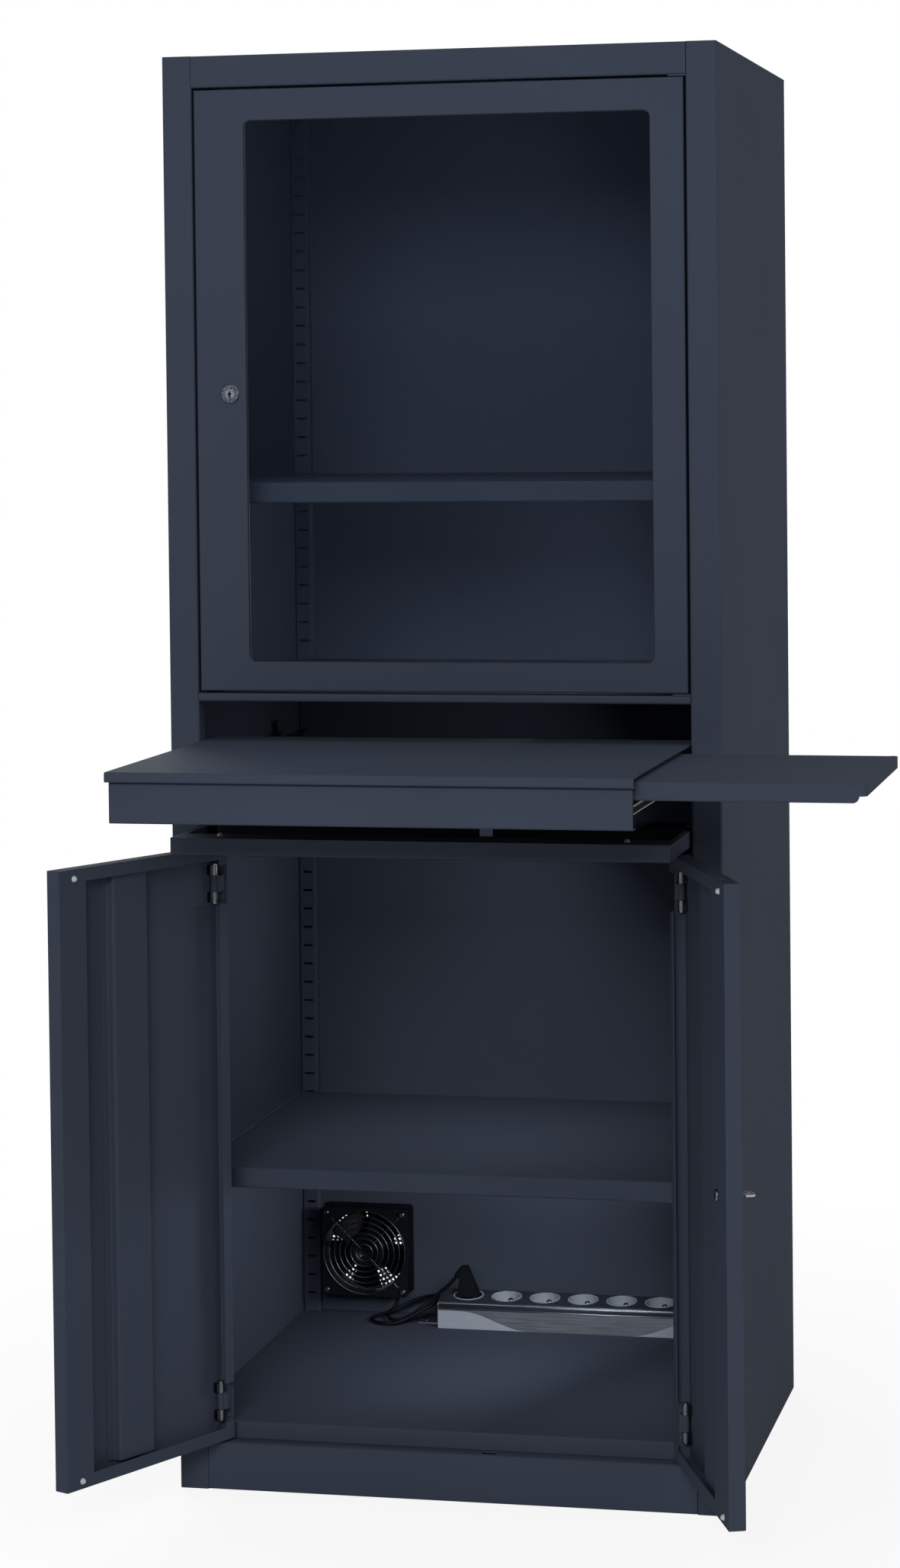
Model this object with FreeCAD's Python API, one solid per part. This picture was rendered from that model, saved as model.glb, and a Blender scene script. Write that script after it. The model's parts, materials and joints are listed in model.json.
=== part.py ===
import FreeCAD, Part
import math
import os

# Steel computer cabinet in millimetres: X to the right, Y to the back, Z up, origin on the floor, mid-width
# The pose is the one in use: drawer and side tray out, flap down, lower doors open

# Carcass
WIDTH = 670.0
HEIGHT = 1730.0
DEPTH = 600.0
SHEET = 1.5
BEND_RADIUS = 1.5
EDGE_RADIUS = 2.0
POST_WIDTH = 36.0
REBATE_DEPTH = 25.0
STOP_WIDTH = 25.0
REAR_FLANGE = 18.0
TOP_BAND = 38.0
PLINTH_HEIGHT = 58.0
PLINTH_HEM = 22.0
FLOOR_STEP = 20.0
BASE_RAIL_WIDTH = 50.0
MID_BAND = 10.0
MID_HEM = 16.0
DIVIDER_DROP = 2.0
DIVIDER_LIP = 12.0
DIVIDER_HEM = 14.0

# Doors and flap
DOOR_DEPTH = 20.0
DOOR_GAP = 3.0
DOOR_LIP = 15.0
LOWER_DOOR_HEIGHT = 720.0
LEFT_DOOR_ANGLE = 115.0
RIGHT_DOOR_ANGLE = 111.0
LEFT_FREE_LIP = 45.0
RIGHT_FREE_LIP = 72.0
STIFFENER_WIDTH = 60.0
STIFFENER_DEPTH = 12.0
STIFFENER_FLANGE = 10.0
STIFFENER_FROM_EDGE = 128.0
BUMPER_RADIUS = 4.0
BUMPER_CLEARANCE = 0.3
BUMPER_FROM_FREE_EDGE = 25.0
BUMPER_FROM_END = 8.0
FLAP_GAP = 6.0
FLAP_HEIGHT = 167.0
FLAP_TOP_LIP = 46.0
FLAP_SIDE_LIP = 8.0
FLAP_PIVOT_IN = 15.0
FLAP_PIVOT_UP = 16.0
FLAP_BUMPER_OUT = 243.0
FLAP_BUMPER_DOWN = 23.0
FLAP_PIN_RADIUS = 3.0
FLAP_PEG_BACK = 9.0
BRACKET_HOLE_RADIUS = 2.2
BRACKET_EDGE = 9.0
BRACKET_HEIGHT = 42.0
BRACKET_HOLES_DOWN = (6.0, 18.0)

# Lower door hinges
HINGE_IN = 11.0
HINGE_BACK = 8.0
HINGE_FROM_END = 45.0
KNUCKLE_RADIUS = 4.0
KNUCKLE_FOOT = 6.0
FIXED_KNUCKLE_HEIGHT = 20.0
DOOR_KNUCKLE_HEIGHT = 12.0
KNUCKLE_GAP = 0.5
HINGE_PIN_RADIUS = 2.5
PIN_OVERHANG = 1.5
LEAF_THICKNESS = 2.0
LEAF_LEFT = 9.0
LEAF_RIGHT = 5.0
NOTCH_CLEARANCE = 1.0
RUNNING_CLEARANCE = 0.05
SEAT_CLEARANCE = 0.02

# Upper door
LOCK_STILE = 61.0
HINGE_STILE = 39.0
TOP_RAIL = 37.0
BOTTOM_RAIL = 35.0
WINDOW_RADIUS = 9.0
UPPER_DOOR_LIP = 12.0
PANE_OVERLAP = 8.0
PANE_THICKNESS = 4.0
SEAL_THICKNESS = 1.5
SEAL_SHOWS = 1.0
RETAINER_THICKNESS = 1.5
PIVOT_FROM_EDGE = 11.0
PIVOT_DEPTH = 8.0
PIVOT_PLATE = 2.0
PIVOT_PLATE_REACH = 7.0
PIVOT_PIN_RADIUS = 3.0
PIVOT_PIN_LENGTH = 14.0

# Locks
UPPER_LOCK_FROM_EDGE = 41.0
UPPER_LOCK_UP = 356.0
LOCK_ROSETTE_RADIUS = 11.5
LOCK_ROSETTE_PROUD = 1.6
LOCK_BARREL_RADIUS = 9.0
LOCK_NUT_RADIUS = 11.0
LOCK_NUT_HEIGHT = 5.0
LOCK_FIT = 0.1
LOCK_END_GAP = 0.5
PLUG_RADIUS = 6.0
PLUG_PROUD = 1.0
KEYWAY_LENGTH = 7.0
KEYWAY_WIDTH = 1.4
KEYWAY_DEPTH = 3.0
CAM_THICKNESS = 2.0
CAM_WIDTH = 14.0
CAM_REACH = 55.0
CAM_CLEARANCE = 1.0
RIGHT_LOCK_FROM_EDGE = 45.0
RIGHT_LOCK_UP = 366.0
RIGHT_BARREL_LENGTH = 9.0
KEY_BOW_WIDTH = 22.0
KEY_BOW_LENGTH = 15.0
KEY_SHANK_LENGTH = 4.0
KEY_SHANK_WIDTH = 6.0
KEY_THICKNESS = 2.0
KEY_HOLE_RADIUS = 2.5
KEY_HOLE_FROM_END = 5.0
KEY_CORNER = 5.0
LOCK_CAP_RADIUS = 7.0
LOCK_CAP_HEIGHT = 3.0
LIP_HOLE_RADIUS = 2.2
LIP_HOLE_IN = 10.7
LIP_HOLE_UP = 9.0

# Locking rods of the right lower door
CRANK_RADIUS = 12.0
CRANK_THICKNESS = 2.0
CRANK_PIN_RADIUS = 2.0
ROD_STROKE = 12.0
ROD_RADIUS = 4.0
ROD_DEPTH = 12.0
ROD_START = 30.0
ROD_TIP_BELOW_FLANGE = 0.5
YOKE_THICKNESS = 1.5
YOKE_GAP = 0.5
YOKE_SLOT_HALF = 4.7
YOKE_BAR = 3.0
ROD_SLOT_LENGTH = 16.0
ROD_SLOT_WIDTH = 9.0

# Uprights and shelves
UPRIGHT_WIDTH = 24.0
UPRIGHT_DEPTH = 12.0
FRONT_UPRIGHT_IN = 68.0
SLOT_PITCH = 25.0
SLOT_FIRST = 25.0
SLOT_LENGTH = 12.0
SLOT_HEIGHT = 3.0
SHELF_LIP = 25.0
SHELF_HEM = 12.0
SHELF_SIDE_CLEARANCE = 2.5
SHELF_END_CLEARANCE = 2.0
UPPER_SHELF_SLOT_COUNT = 8
LOWER_SHELF_SLOT_COUNT = 10
CLIP_WIDTH = 10.0
CLIP_THICKNESS = 2.2
CLIP_REACH = 14.0
CLIP_HOOK = 8.0

# Drawer, slides and side tray
DRAWER_RISE = 122.0
DRAWER_OUT = 405.0
DRAWER_DEPTH = 455.0
DRAWER_SIDE_CLEARANCE = 2.0
DRAWER_FRONT_CLEARANCE = 2.0
NOSE_HEIGHT = 11.5
NOSE_REACH = 9.0
NOSE_HEM = 14.0
PANEL_HEIGHT = 46.5
PANEL_HEM = 9.0
PANEL_SIDE_INSET = 2.5
SLIDE_SIDE_CLEARANCE = 0.8
SLIDE_SHEET = 1.2
SLIDE_BEND = 0.6
SLIDE_HEIGHT = 16.0
SLIDE_LIP = 10.0
SLIDE_GAP = 0.3
SLIDE_STEP = 1.7
SLIDE_SHORTER = 5.0
SLIDE_SET_BACK = 3.0
RUNNER_HEM = 25.0
RUNNER_DROP = 2.5
RUNNER_NOTCH_GAP = 1.0
SLIDE_BRACKET_LENGTH = 30.0
SLIDE_BRACKET_RISE = 12.0
TRAY_DROP = 6.0
TRAY_SKIRT = 20.5
TRAY_END_SKIRT = 13.0
TRAY_HEM = 8.0
TRAY_DEPTH = 325.0
TRAY_LENGTH = 330.0
TRAY_OUT = 248.0
TRAY_SET_BACK = 13.0
TRAY_CORNER = 8.0
TRAY_OVER_SLIDE = 1.0
GUIDE_SHEET = 1.2
GUIDE_SIDE_GAP = 0.5
GUIDE_UNDER_GAP = 0.3
GUIDE_SHELF = 9.0
GUIDE_TAB = 4.0
GUIDE_LENGTH = 292.0
GUIDE_END_GAP = 1.0

# Fan
FAN_SIZE = 119.0
FAN_DEPTH = 38.0
FAN_FROM_SIDE = 94.0
FAN_UP = 89.0
FAN_FLANGE = 5.0
FAN_CORNER = 5.0
FAN_DUCT_RADIUS = 55.5
FAN_BARREL_RADIUS = 58.5
FAN_HOLE_INSET = 7.0
FAN_SCREW_RADIUS = 2.0
FAN_SCREW_HOLE = 2.15
FAN_SCREW_HEAD = 4.0
FAN_HEAD_HEIGHT = 2.6
MOTOR_RADIUS = 24.0
MOTOR_THICKNESS = 9.0
STRUT_WIDTH = 6.0
STRUT_DEPTH = 4.0
STRUT_COUNT = 4
ROTOR_HUB_RADIUS = 25.0
ROTOR_HUB_DEPTH = 20.0
ROTOR_GAP = 1.0
ROTOR_SHAFT_RADIUS = 3.0
ROTOR_SHAFT_LENGTH = 6.0
BLADE_COUNT = 5
BLADE_TIP_RADIUS = 53.5
BLADE_THICKNESS = 1.6
BLADE_ROOT_CHORD = 29.0
BLADE_TIP_CHORD = 42.0
BLADE_ROOT_PITCH = 45.0
BLADE_TIP_PITCH = 30.0
BLADE_ROOT_SINK = 3.0
GUARD_WIRE_RADIUS = 0.9
GUARD_RING_COUNT = 7
GUARD_FIRST_RING = 11.4
GUARD_RING_STEP = 7.5
GUARD_FLATS_COUNT = 36
GUARD_EYE_RADIUS = 4.5
GUARD_EYE_THICKNESS = 2.0
GUARD_RING_LIFT = 1.1
GUARD_SPOKE_START = 5.0

# Vent in the back panel behind the fan
VENT_RING_COUNT = 4
VENT_FIRST_RING = 35.5
VENT_RING_STEP = 6.0
VENT_HOLE_PITCH = 5.7
VENT_HOLE_RADIUS = 1.8
VENT_HOLE_SIDES = 6

# Socket strip
STRIP_FROM_FAN = 50.0
STRIP_END_ROOM = 80.0
STRIP_FROM_BACK = 17.0
STRIP_DEPTH = 60.0
STRIP_FRONT_HEIGHT = 36.0
STRIP_BACK_HEIGHT = 42.0
STRIP_EDGE = 6.0
STRIP_GROOVE = 2.0
STRIP_GROOVE_UP = 28.0
SOCKET_PITCH = 52.0
SOCKET_FIRST = 36.0
SOCKET_RADIUS = 20.5
SOCKET_HEIGHT = 18.0
SOCKET_PROUD = 0.8
SOCKET_RECESS_RADIUS = 18.6
SOCKET_RECESS_DEPTH = 13.0
SOCKET_PIN_RADIUS = 2.6
SOCKET_PIN_SPACING = 19.0
SOCKET_PIN_DEPTH = 3.0
SOCKET_PIN_TURN = 45.0
SOCKET_PIN_SIDES = 8
SOCKET_FIT = 0.1
SOCKET_GAP = 0.4
CHANNEL_WIDTH = 46.0
COVER_THICKNESS = 1.2
CAP_HEIGHT = 24.0
CAP_TOP_LENGTH = 30.0
CAP_BOTTOM_LENGTH = 124.0
CAP_FLATS_COUNT = 10
FOOT_LENGTH = 32.0
FOOT_WIDTH = 20.0
FOOT_THICKNESS = 2.0
FOOT_HOLE_RADIUS = 2.5

# Fan lead and its plug
LEAD_DIAMETER = 5.0
GLAND_RADIUS = 4.5
GLAND_LENGTH = 5.0
PLUG_BASE_RADIUS = 18.0
PLUG_BASE_HEIGHT = 12.0
PLUG_BODY_HEIGHT = 40.0
PLUG_BODY_HALF = 15.0
PLUG_TOP_HALF = 4.5
PLUG_BODY_THICKNESS = 15.0
PLUG_LEAN = 4.0
RELIEF_RADIUS = 4.0
RELIEF_SLANT = 38.7
RELIEF_FROM_APEX = 18.0
RELIEF_LENGTH = 16.0
LEAD_END_RUN = 16.4
LEAD_START_RIGHT = 40.0
LEAD_START_FROM_BACK = 14.0
LEAD_ARC_SHARE = 0.45
LEAD_FLATS_COUNT = 8

# Places worked out from the sizes above
V = FreeCAD.Vector
HALF = WIDTH / 2
INNER = HALF - SHEET
OPENING = HALF - POST_WIDTH
FRONT = -DEPTH / 2
BACK = DEPTH / 2
BACK_FACE = BACK - 2 * SHEET
STOP_Y = FRONT + REBATE_DEPTH
BEHIND_POST = STOP_Y + SHEET + BEND_RADIUS
FLOOR_Z = PLINTH_HEIGHT + FLOOR_STEP
DOOR_EDGE = OPENING - DOOR_GAP
DOOR_BOTTOM = PLINTH_HEIGHT + DOOR_GAP
DOOR_TOP = DOOR_BOTTOM + LOWER_DOOR_HEIGHT
DOOR_BACK = FRONT + DOOR_DEPTH
DIVIDER_Z = DOOR_TOP - DIVIDER_DROP
FLAP_BOTTOM = DOOR_TOP + FLAP_GAP
FLAP_TOP = FLAP_BOTTOM + FLAP_HEIGHT
FLAP_PIVOT = V(0, FRONT + FLAP_PIVOT_IN, FLAP_BOTTOM + FLAP_PIVOT_UP)
MID_Z = FLAP_TOP + DOOR_GAP + MID_BAND
UPPER_DOOR_BOTTOM = MID_Z + DOOR_GAP
UPPER_DOOR_TOP = HEIGHT - TOP_BAND - DOOR_GAP
HINGE_X = DOOR_EDGE - HINGE_IN
HINGE_Y = FRONT + HINGE_BACK
HINGE_HEIGHTS = (DOOR_BOTTOM + HINGE_FROM_END, DOOR_TOP - HINGE_FROM_END)
RIGHT_LOCK_X = DOOR_GAP / 2 + RIGHT_LOCK_FROM_EDGE
RIGHT_LOCK_Z = DOOR_BOTTOM + RIGHT_LOCK_UP
DRAWER_Z = FLAP_BOTTOM + DRAWER_RISE
DRAWER_FRONT = DOOR_BACK + DRAWER_FRONT_CLEARANCE
DRAWER_BACK = DRAWER_FRONT + DRAWER_DEPTH
DRAWER_HALF = OPENING - DRAWER_SIDE_CLEARANCE
PANEL_FRONT = DRAWER_FRONT + NOSE_REACH
PANEL_TOP = DRAWER_Z - NOSE_HEIGHT
PANEL_BOTTOM = PANEL_TOP - PANEL_HEIGHT
TRAY_Z = DRAWER_Z - TRAY_DROP
TRAY_BOTTOM = TRAY_Z - TRAY_SKIRT
TRAY_FRONT = PANEL_FRONT + TRAY_SET_BACK
TRAY_BACK = TRAY_FRONT + TRAY_DEPTH
SLIDE_TOP = TRAY_BOTTOM - TRAY_OVER_SLIDE
SLIDE_BOTTOM = SLIDE_TOP - SLIDE_HEIGHT
SLIDE_X = OPENING - SLIDE_SIDE_CLEARANCE
SLIDE_FRONT = PANEL_FRONT + SLIDE_SET_BACK
SLIDE_LENGTH = DRAWER_DEPTH - SLIDE_SHORTER
RUNNER_X = SLIDE_X - 2 * SLIDE_STEP - SLIDE_LIP
SHELF_FRONT = FRONT + FRONT_UPRIGHT_IN + SHELF_END_CLEARANCE
SHELF_BACK = BACK_FACE - UPRIGHT_DEPTH - SHELF_END_CLEARANCE
FAN_X = FAN_FROM_SIDE - HALF
FAN_Z = FLOOR_Z + FAN_UP
FAN_FRONT = BACK_FACE - FAN_DEPTH
STRIP_BACK = BACK_FACE - STRIP_FROM_BACK
STRIP_FRONT = STRIP_BACK - STRIP_DEPTH
STRIP_TILT = math.degrees(math.atan2(STRIP_BACK_HEIGHT - STRIP_FRONT_HEIGHT, STRIP_DEPTH))
STRIP_LEFT = FAN_X + FAN_SIZE / 2 + STRIP_FROM_FAN
STRIP_ROOM = HALF - STRIP_END_ROOM - STRIP_LEFT
SOCKET_COUNT = 1 + int((STRIP_ROOM - 2 * SOCKET_FIRST) / SOCKET_PITCH)
STRIP_RIGHT = STRIP_LEFT + 2 * SOCKET_FIRST + (SOCKET_COUNT - 1) * SOCKET_PITCH


# General shapes
def box(x0, x1, y0, y1, z0, z1):
    return Part.makeBox(x1 - x0, y1 - y0, z1 - z0, V(x0, y0, z0))


def rod(radius, start, end):
    axis = end - start
    return Part.makeCylinder(radius, axis.Length, start, axis)


def mirrored(shape):
    return shape.mirror(V(0, 0, 0), V(1, 0, 0))


def both_sides(shape):
    return [shape, mirrored(shape)]


def turned(shape, pivot, axis, degrees):
    moved = shape.copy()
    moved.rotate(pivot, axis, degrees)
    return moved


def shifted(shape, x=0.0, y=0.0, z=0.0):
    return shape.translated(V(x, y, z))


def fused(shapes):
    return shapes[0].multiFuse(shapes[1:]).removeSplitter()


def cut(shape, tools):
    return shape.cut(Part.makeCompound(tools))


# Closed outline with equal sides round a centre, in the plane of two directions
def regular_outline(centre, radius, across, up, sides):
    turns = [2 * math.pi * (index + 0.5) / sides for index in range(sides)]
    corners = [centre + (across * math.cos(turn) + up * math.sin(turn)) * radius for turn in turns]
    return Part.makePolygon(corners + corners[:1])


# Section of a folded sheet: the path is one skin and the sheet lies to the left of it
def folded_section(path, thickness=SHEET, bend=BEND_RADIUS):
    points = [V(u, v, 0) for u, v in path]
    near = []
    far = []
    near_start = points[0]
    heading = (points[1] - points[0]).normalize()
    far_start = points[0] + left_of(heading) * thickness
    for index in range(1, len(points) - 1):
        corner = points[index]
        after = (points[index + 1] - corner).normalize()
        turn = math.atan2(heading.cross(after).z, heading.dot(after))
        near_radius = bend + thickness if turn > 0 else bend
        far_radius = bend if turn > 0 else bend + thickness
        reach = near_radius * math.tan(abs(turn) / 2)
        enter = corner - heading * reach
        leave = corner + after * reach
        side = 1 if turn > 0 else -1
        centre = enter + left_of(heading) * (side * near_radius)
        outward = (corner - centre).normalize()
        far_enter = enter + left_of(heading) * thickness
        far_leave = leave + left_of(after) * thickness
        near.append(Part.makeLine(near_start, enter))
        near.append(Part.Arc(enter, centre + outward * near_radius, leave).toShape())
        far.append(Part.makeLine(far_start, far_enter))
        far.append(Part.Arc(far_enter, centre + outward * far_radius, far_leave).toShape())
        near_start = leave
        far_start = far_leave
        heading = after
    near_end = points[-1]
    far_end = near_end + left_of(heading) * thickness
    near.append(Part.makeLine(near_start, near_end))
    far.append(Part.makeLine(far_start, far_end))
    first_cap = Part.makeLine(points[0], far[0].Vertexes[0].Point)
    last_cap = Part.makeLine(near_end, far_end)
    edges = near + far + [first_cap, last_cap]
    return Part.Face(Part.Wire(Part.__sortEdges__(edges)))


def left_of(heading):
    return V(-heading.y, heading.x, 0)


# Folded sheets that run along Z, X or Y
def sheet_along_z(path, z0, z1, thickness=SHEET, bend=BEND_RADIUS):
    face = folded_section(path, thickness, bend)
    face.translate(V(0, 0, z0))
    return face.extrude(V(0, 0, z1 - z0))


def sheet_along_x(path, x0, x1, thickness=SHEET, bend=BEND_RADIUS):
    face = folded_section(path, thickness, bend)
    face.Placement = FreeCAD.Placement(V(x0, 0, 0), FreeCAD.Rotation(V(1, 1, 1), 120))
    return face.extrude(V(x1 - x0, 0, 0))


def sheet_along_y(path, y0, y1, thickness=SHEET, bend=BEND_RADIUS):
    face = folded_section(path, thickness, bend)
    face.Placement = FreeCAD.Placement(V(0, y1, 0), FreeCAD.Rotation(V(1, 0, 0), 90))
    return face.extrude(V(0, y0 - y1, 0))


# Upright slab with rounded corners in X and Z
def rounded_slab(x0, x1, y0, y1, z0, z1, radius):
    slab = box(x0, x1, y0, y1, z0, z1)
    corners = [edge for edge in slab.Edges if abs(edge.Vertexes[0].Y - edge.Vertexes[1].Y) > 0.5 * (y1 - y0)]
    return slab.makeFillet(radius, corners)


# Shallow pan with rounded front edges, side walls and lips folded in at the back
def pan(x0, x1, z0, z1, lip_left, lip_right, lip_bottom, lip_top):
    outer = box(x0, x1, FRONT, DOOR_BACK, z0, z1)
    front_edges = [edge for edge in outer.Edges if edge.BoundBox.YMax < FRONT + 0.5 * DOOR_DEPTH]
    outer = outer.makeFillet(EDGE_RADIUS, front_edges)
    hollow = box(x0 + SHEET, x1 - SHEET, FRONT + SHEET, DOOR_BACK - SHEET, z0 + SHEET, z1 - SHEET)
    y0 = DOOR_BACK - 2 * SHEET
    y1 = DOOR_BACK + SHEET
    mouth = box(x0 + lip_left, x1 - lip_right, y0, y1, z0 + lip_bottom, z1 - lip_top)
    return cut(outer, [hollow.fuse(mouth)])


# Carcass
def side_panel():
    path = [
        (OPENING - STOP_WIDTH, STOP_Y),
        (OPENING, STOP_Y),
        (OPENING, FRONT),
        (HALF, FRONT),
        (HALF, BACK),
        (HALF - REAR_FLANGE, BACK),
    ]
    panel = sheet_along_z(path, 0, HEIGHT)
    no_stop = [(0, FLOOR_Z), (DIVIDER_Z, MID_Z), (HEIGHT - TOP_BAND, HEIGHT)]
    edge = OPENING - STOP_WIDTH - SHEET
    stops = [box(edge, OPENING, STOP_Y - BEND_RADIUS, BEHIND_POST, z0, z1) for z0, z1 in no_stop]
    bend_end = SHEET + BEND_RADIUS
    post_head = box(OPENING - SHEET, OPENING + bend_end, FRONT + bend_end, BEHIND_POST, HEIGHT - SHEET, HEIGHT)
    return cut(panel, stops + [post_head])


def top_panel():
    path = [
        (BACK_FACE, HEIGHT),
        (FRONT, HEIGHT),
        (FRONT, HEIGHT - TOP_BAND),
        (STOP_Y, HEIGHT - TOP_BAND),
        (STOP_Y, HEIGHT - 0.5 * TOP_BAND),
    ]
    band = sheet_along_x(path, -OPENING, OPENING)
    plate = box(-INNER, INNER, FRONT + SHEET + BEND_RADIUS, BACK_FACE, HEIGHT - SHEET, HEIGHT)
    return fused([band, plate])


def back_panel():
    reach = INNER - BEND_RADIUS
    corners = [V(x, BACK_FACE, z) for x, z in ((-reach, 0), (reach, 0), (reach, HEIGHT), (-reach, HEIGHT))]
    sheet = Part.Face([Part.makePolygon(corners + corners[:1])] + vent_outlines())
    sheet.validate()
    panel = sheet.extrude(V(0, SHEET, 0))
    return cut(panel, [fan_rod(FAN_SCREW_HOLE, x, z, BACK_FACE, BACK) for x, z in fan_corners()])


# Vent behind the fan: rings of small punched holes
def vent_outlines():
    outlines = []
    for ring in range(VENT_RING_COUNT):
        radius = VENT_FIRST_RING + ring * VENT_RING_STEP
        count = int(2 * math.pi * radius / VENT_HOLE_PITCH)
        for index in range(count):
            turn = 2 * math.pi * index / count
            across = V(math.cos(turn), 0, math.sin(turn))
            up = V(-math.sin(turn), 0, math.cos(turn))
            centre = V(FAN_X, BACK_FACE, FAN_Z) + across * radius
            outlines.append(regular_outline(centre, VENT_HOLE_RADIUS, across, up, VENT_HOLE_SIDES))
    return outlines


def upper_floor():
    path = [(BACK_FACE, MID_Z), (FRONT, MID_Z), (FRONT, MID_Z - MID_BAND), (FRONT + MID_HEM, MID_Z - MID_BAND)]
    nose = sheet_along_x(path, -OPENING, OPENING)
    plate = box(-INNER, INNER, BEHIND_POST, BACK_FACE, MID_Z - SHEET, MID_Z)
    return fused([nose, plate])


def divider():
    path = [
        (BACK_FACE, DIVIDER_Z),
        (STOP_Y, DIVIDER_Z),
        (STOP_Y, DIVIDER_Z - DIVIDER_LIP),
        (STOP_Y + DIVIDER_HEM, DIVIDER_Z - DIVIDER_LIP),
    ]
    lip = sheet_along_x(path, STOP_WIDTH - OPENING, OPENING - STOP_WIDTH)
    plate = box(-INNER, INNER, BEHIND_POST, BACK_FACE, DIVIDER_Z - SHEET, DIVIDER_Z)
    return fused([lip, plate])


def floor_panel():
    path = [
        (BACK_FACE, FLOOR_Z),
        (STOP_Y, FLOOR_Z),
        (STOP_Y, PLINTH_HEIGHT),
        (FRONT, PLINTH_HEIGHT),
        (FRONT, 0),
        (FRONT + PLINTH_HEM, 0),
    ]
    step = sheet_along_x(path, -OPENING, OPENING)
    plate = box(-INNER, INNER, BEHIND_POST, BACK_FACE, FLOOR_Z - SHEET, FLOOR_Z)
    half = BASE_RAIL_WIDTH / 2
    rail_path = [(-half, FLOOR_Z - SHEET), (-half, 0), (half, 0), (half, FLOOR_Z - SHEET)]
    rail = sheet_along_x(rail_path, -INNER, INNER)
    return cut(fused([step, plate, rail]), [rod_slot(PLINTH_HEIGHT)])


# Slot for a locking rod, cut through a sheet at the height z with the door closed
def rod_slot(z):
    centre = FRONT + ROD_DEPTH
    return box(
        RIGHT_LOCK_X - ROD_SLOT_LENGTH / 2,
        RIGHT_LOCK_X + ROD_SLOT_LENGTH / 2,
        centre - ROD_SLOT_WIDTH / 2,
        centre + ROD_SLOT_WIDTH / 2,
        z - 2 * SHEET,
        z + 2 * SHEET,
    )


def slot_heights(z0, z1):
    count = int((z1 - z0 - 2 * SLOT_FIRST) / SLOT_PITCH) + 1
    return [z0 + SLOT_FIRST + index * SLOT_PITCH for index in range(count)]


# Slotted uprights stand in the corners, with the slotted face towards the shelf
def uprights(z0, z1):
    inner_x = INNER - UPRIGHT_WIDTH
    rear_face = BACK_FACE - UPRIGHT_DEPTH
    front_face = FRONT + FRONT_UPRIGHT_IN
    middle = INNER - UPRIGHT_WIDTH / 2
    rear_path = [(inner_x, BACK_FACE), (inner_x, rear_face), (INNER, rear_face), (INNER, BACK_FACE)]
    front_path = [
        (INNER, front_face - UPRIGHT_DEPTH),
        (INNER, front_face),
        (inner_x, front_face),
        (inner_x, front_face - UPRIGHT_DEPTH),
    ]
    pieces = []
    for path, face in ((rear_path, rear_face), (front_path, front_face)):
        slots = [
            box(
                middle - SLOT_LENGTH / 2,
                middle + SLOT_LENGTH / 2,
                face - 2 * SHEET,
                face + 2 * SHEET,
                z - SLOT_HEIGHT / 2,
                z + SLOT_HEIGHT / 2,
            )
            for z in slot_heights(z0, z1)
        ]
        pieces += both_sides(cut(sheet_along_z(path, z0, z1), slots))
    return pieces


def clip_top(z0, z1, slots_below):
    return slot_heights(z0, z1)[slots_below] + CLIP_THICKNESS / 2


def shelf(top):
    reach = INNER - SHELF_SIDE_CLEARANCE
    path = [
        (SHELF_BACK - SHELF_HEM, top - SHELF_LIP),
        (SHELF_BACK, top - SHELF_LIP),
        (SHELF_BACK, top),
        (SHELF_FRONT, top),
        (SHELF_FRONT, top - SHELF_LIP),
        (SHELF_FRONT + SHELF_HEM, top - SHELF_LIP),
    ]
    return sheet_along_x(path, -reach, reach)


# Clips hook through a slot and carry the hem of the shelf
def shelf_clips(top):
    middle = INNER - UPRIGHT_WIDTH / 2
    x0 = middle - CLIP_WIDTH / 2
    x1 = middle + CLIP_WIDTH / 2
    z1 = top
    z0 = top - CLIP_THICKNESS
    pieces = []
    for face, inward in ((BACK_FACE - UPRIGHT_DEPTH, -1), (FRONT + FRONT_UPRIGHT_IN, 1)):
        tip = face + inward * CLIP_REACH
        hook_near = face - inward * (SHEET + RUNNING_CLEARANCE)
        hook_far = hook_near - inward * CLIP_THICKNESS
        tab = box(x0, x1, min(tip, hook_far), max(tip, hook_far), z0, z1)
        hook = box(x0, x1, min(hook_near, hook_far), max(hook_near, hook_far), z1 - CLIP_HOOK, z1)
        pieces += both_sides(fused([tab, hook]))
    return pieces


# Upper door
def window(grow):
    x0 = -DOOR_EDGE + LOCK_STILE - grow
    x1 = DOOR_EDGE - HINGE_STILE + grow
    z0 = UPPER_DOOR_BOTTOM + BOTTOM_RAIL - grow
    z1 = UPPER_DOOR_TOP - TOP_RAIL + grow
    return x0, x1, z0, z1


def window_slab(grow, y0, y1):
    x0, x1, z0, z1 = window(grow)
    return rounded_slab(x0, x1, y0, y1, z0, z1, WINDOW_RADIUS + grow)


UPPER_LOCK = V(-DOOR_EDGE + UPPER_LOCK_FROM_EDGE, FRONT, UPPER_DOOR_BOTTOM + UPPER_LOCK_UP)
UPPER_PIVOT = V(DOOR_EDGE - PIVOT_FROM_EDGE, FRONT + PIVOT_DEPTH, 0)
RIGHT_LOCK = V(RIGHT_LOCK_X, FRONT, RIGHT_LOCK_Z)


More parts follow.
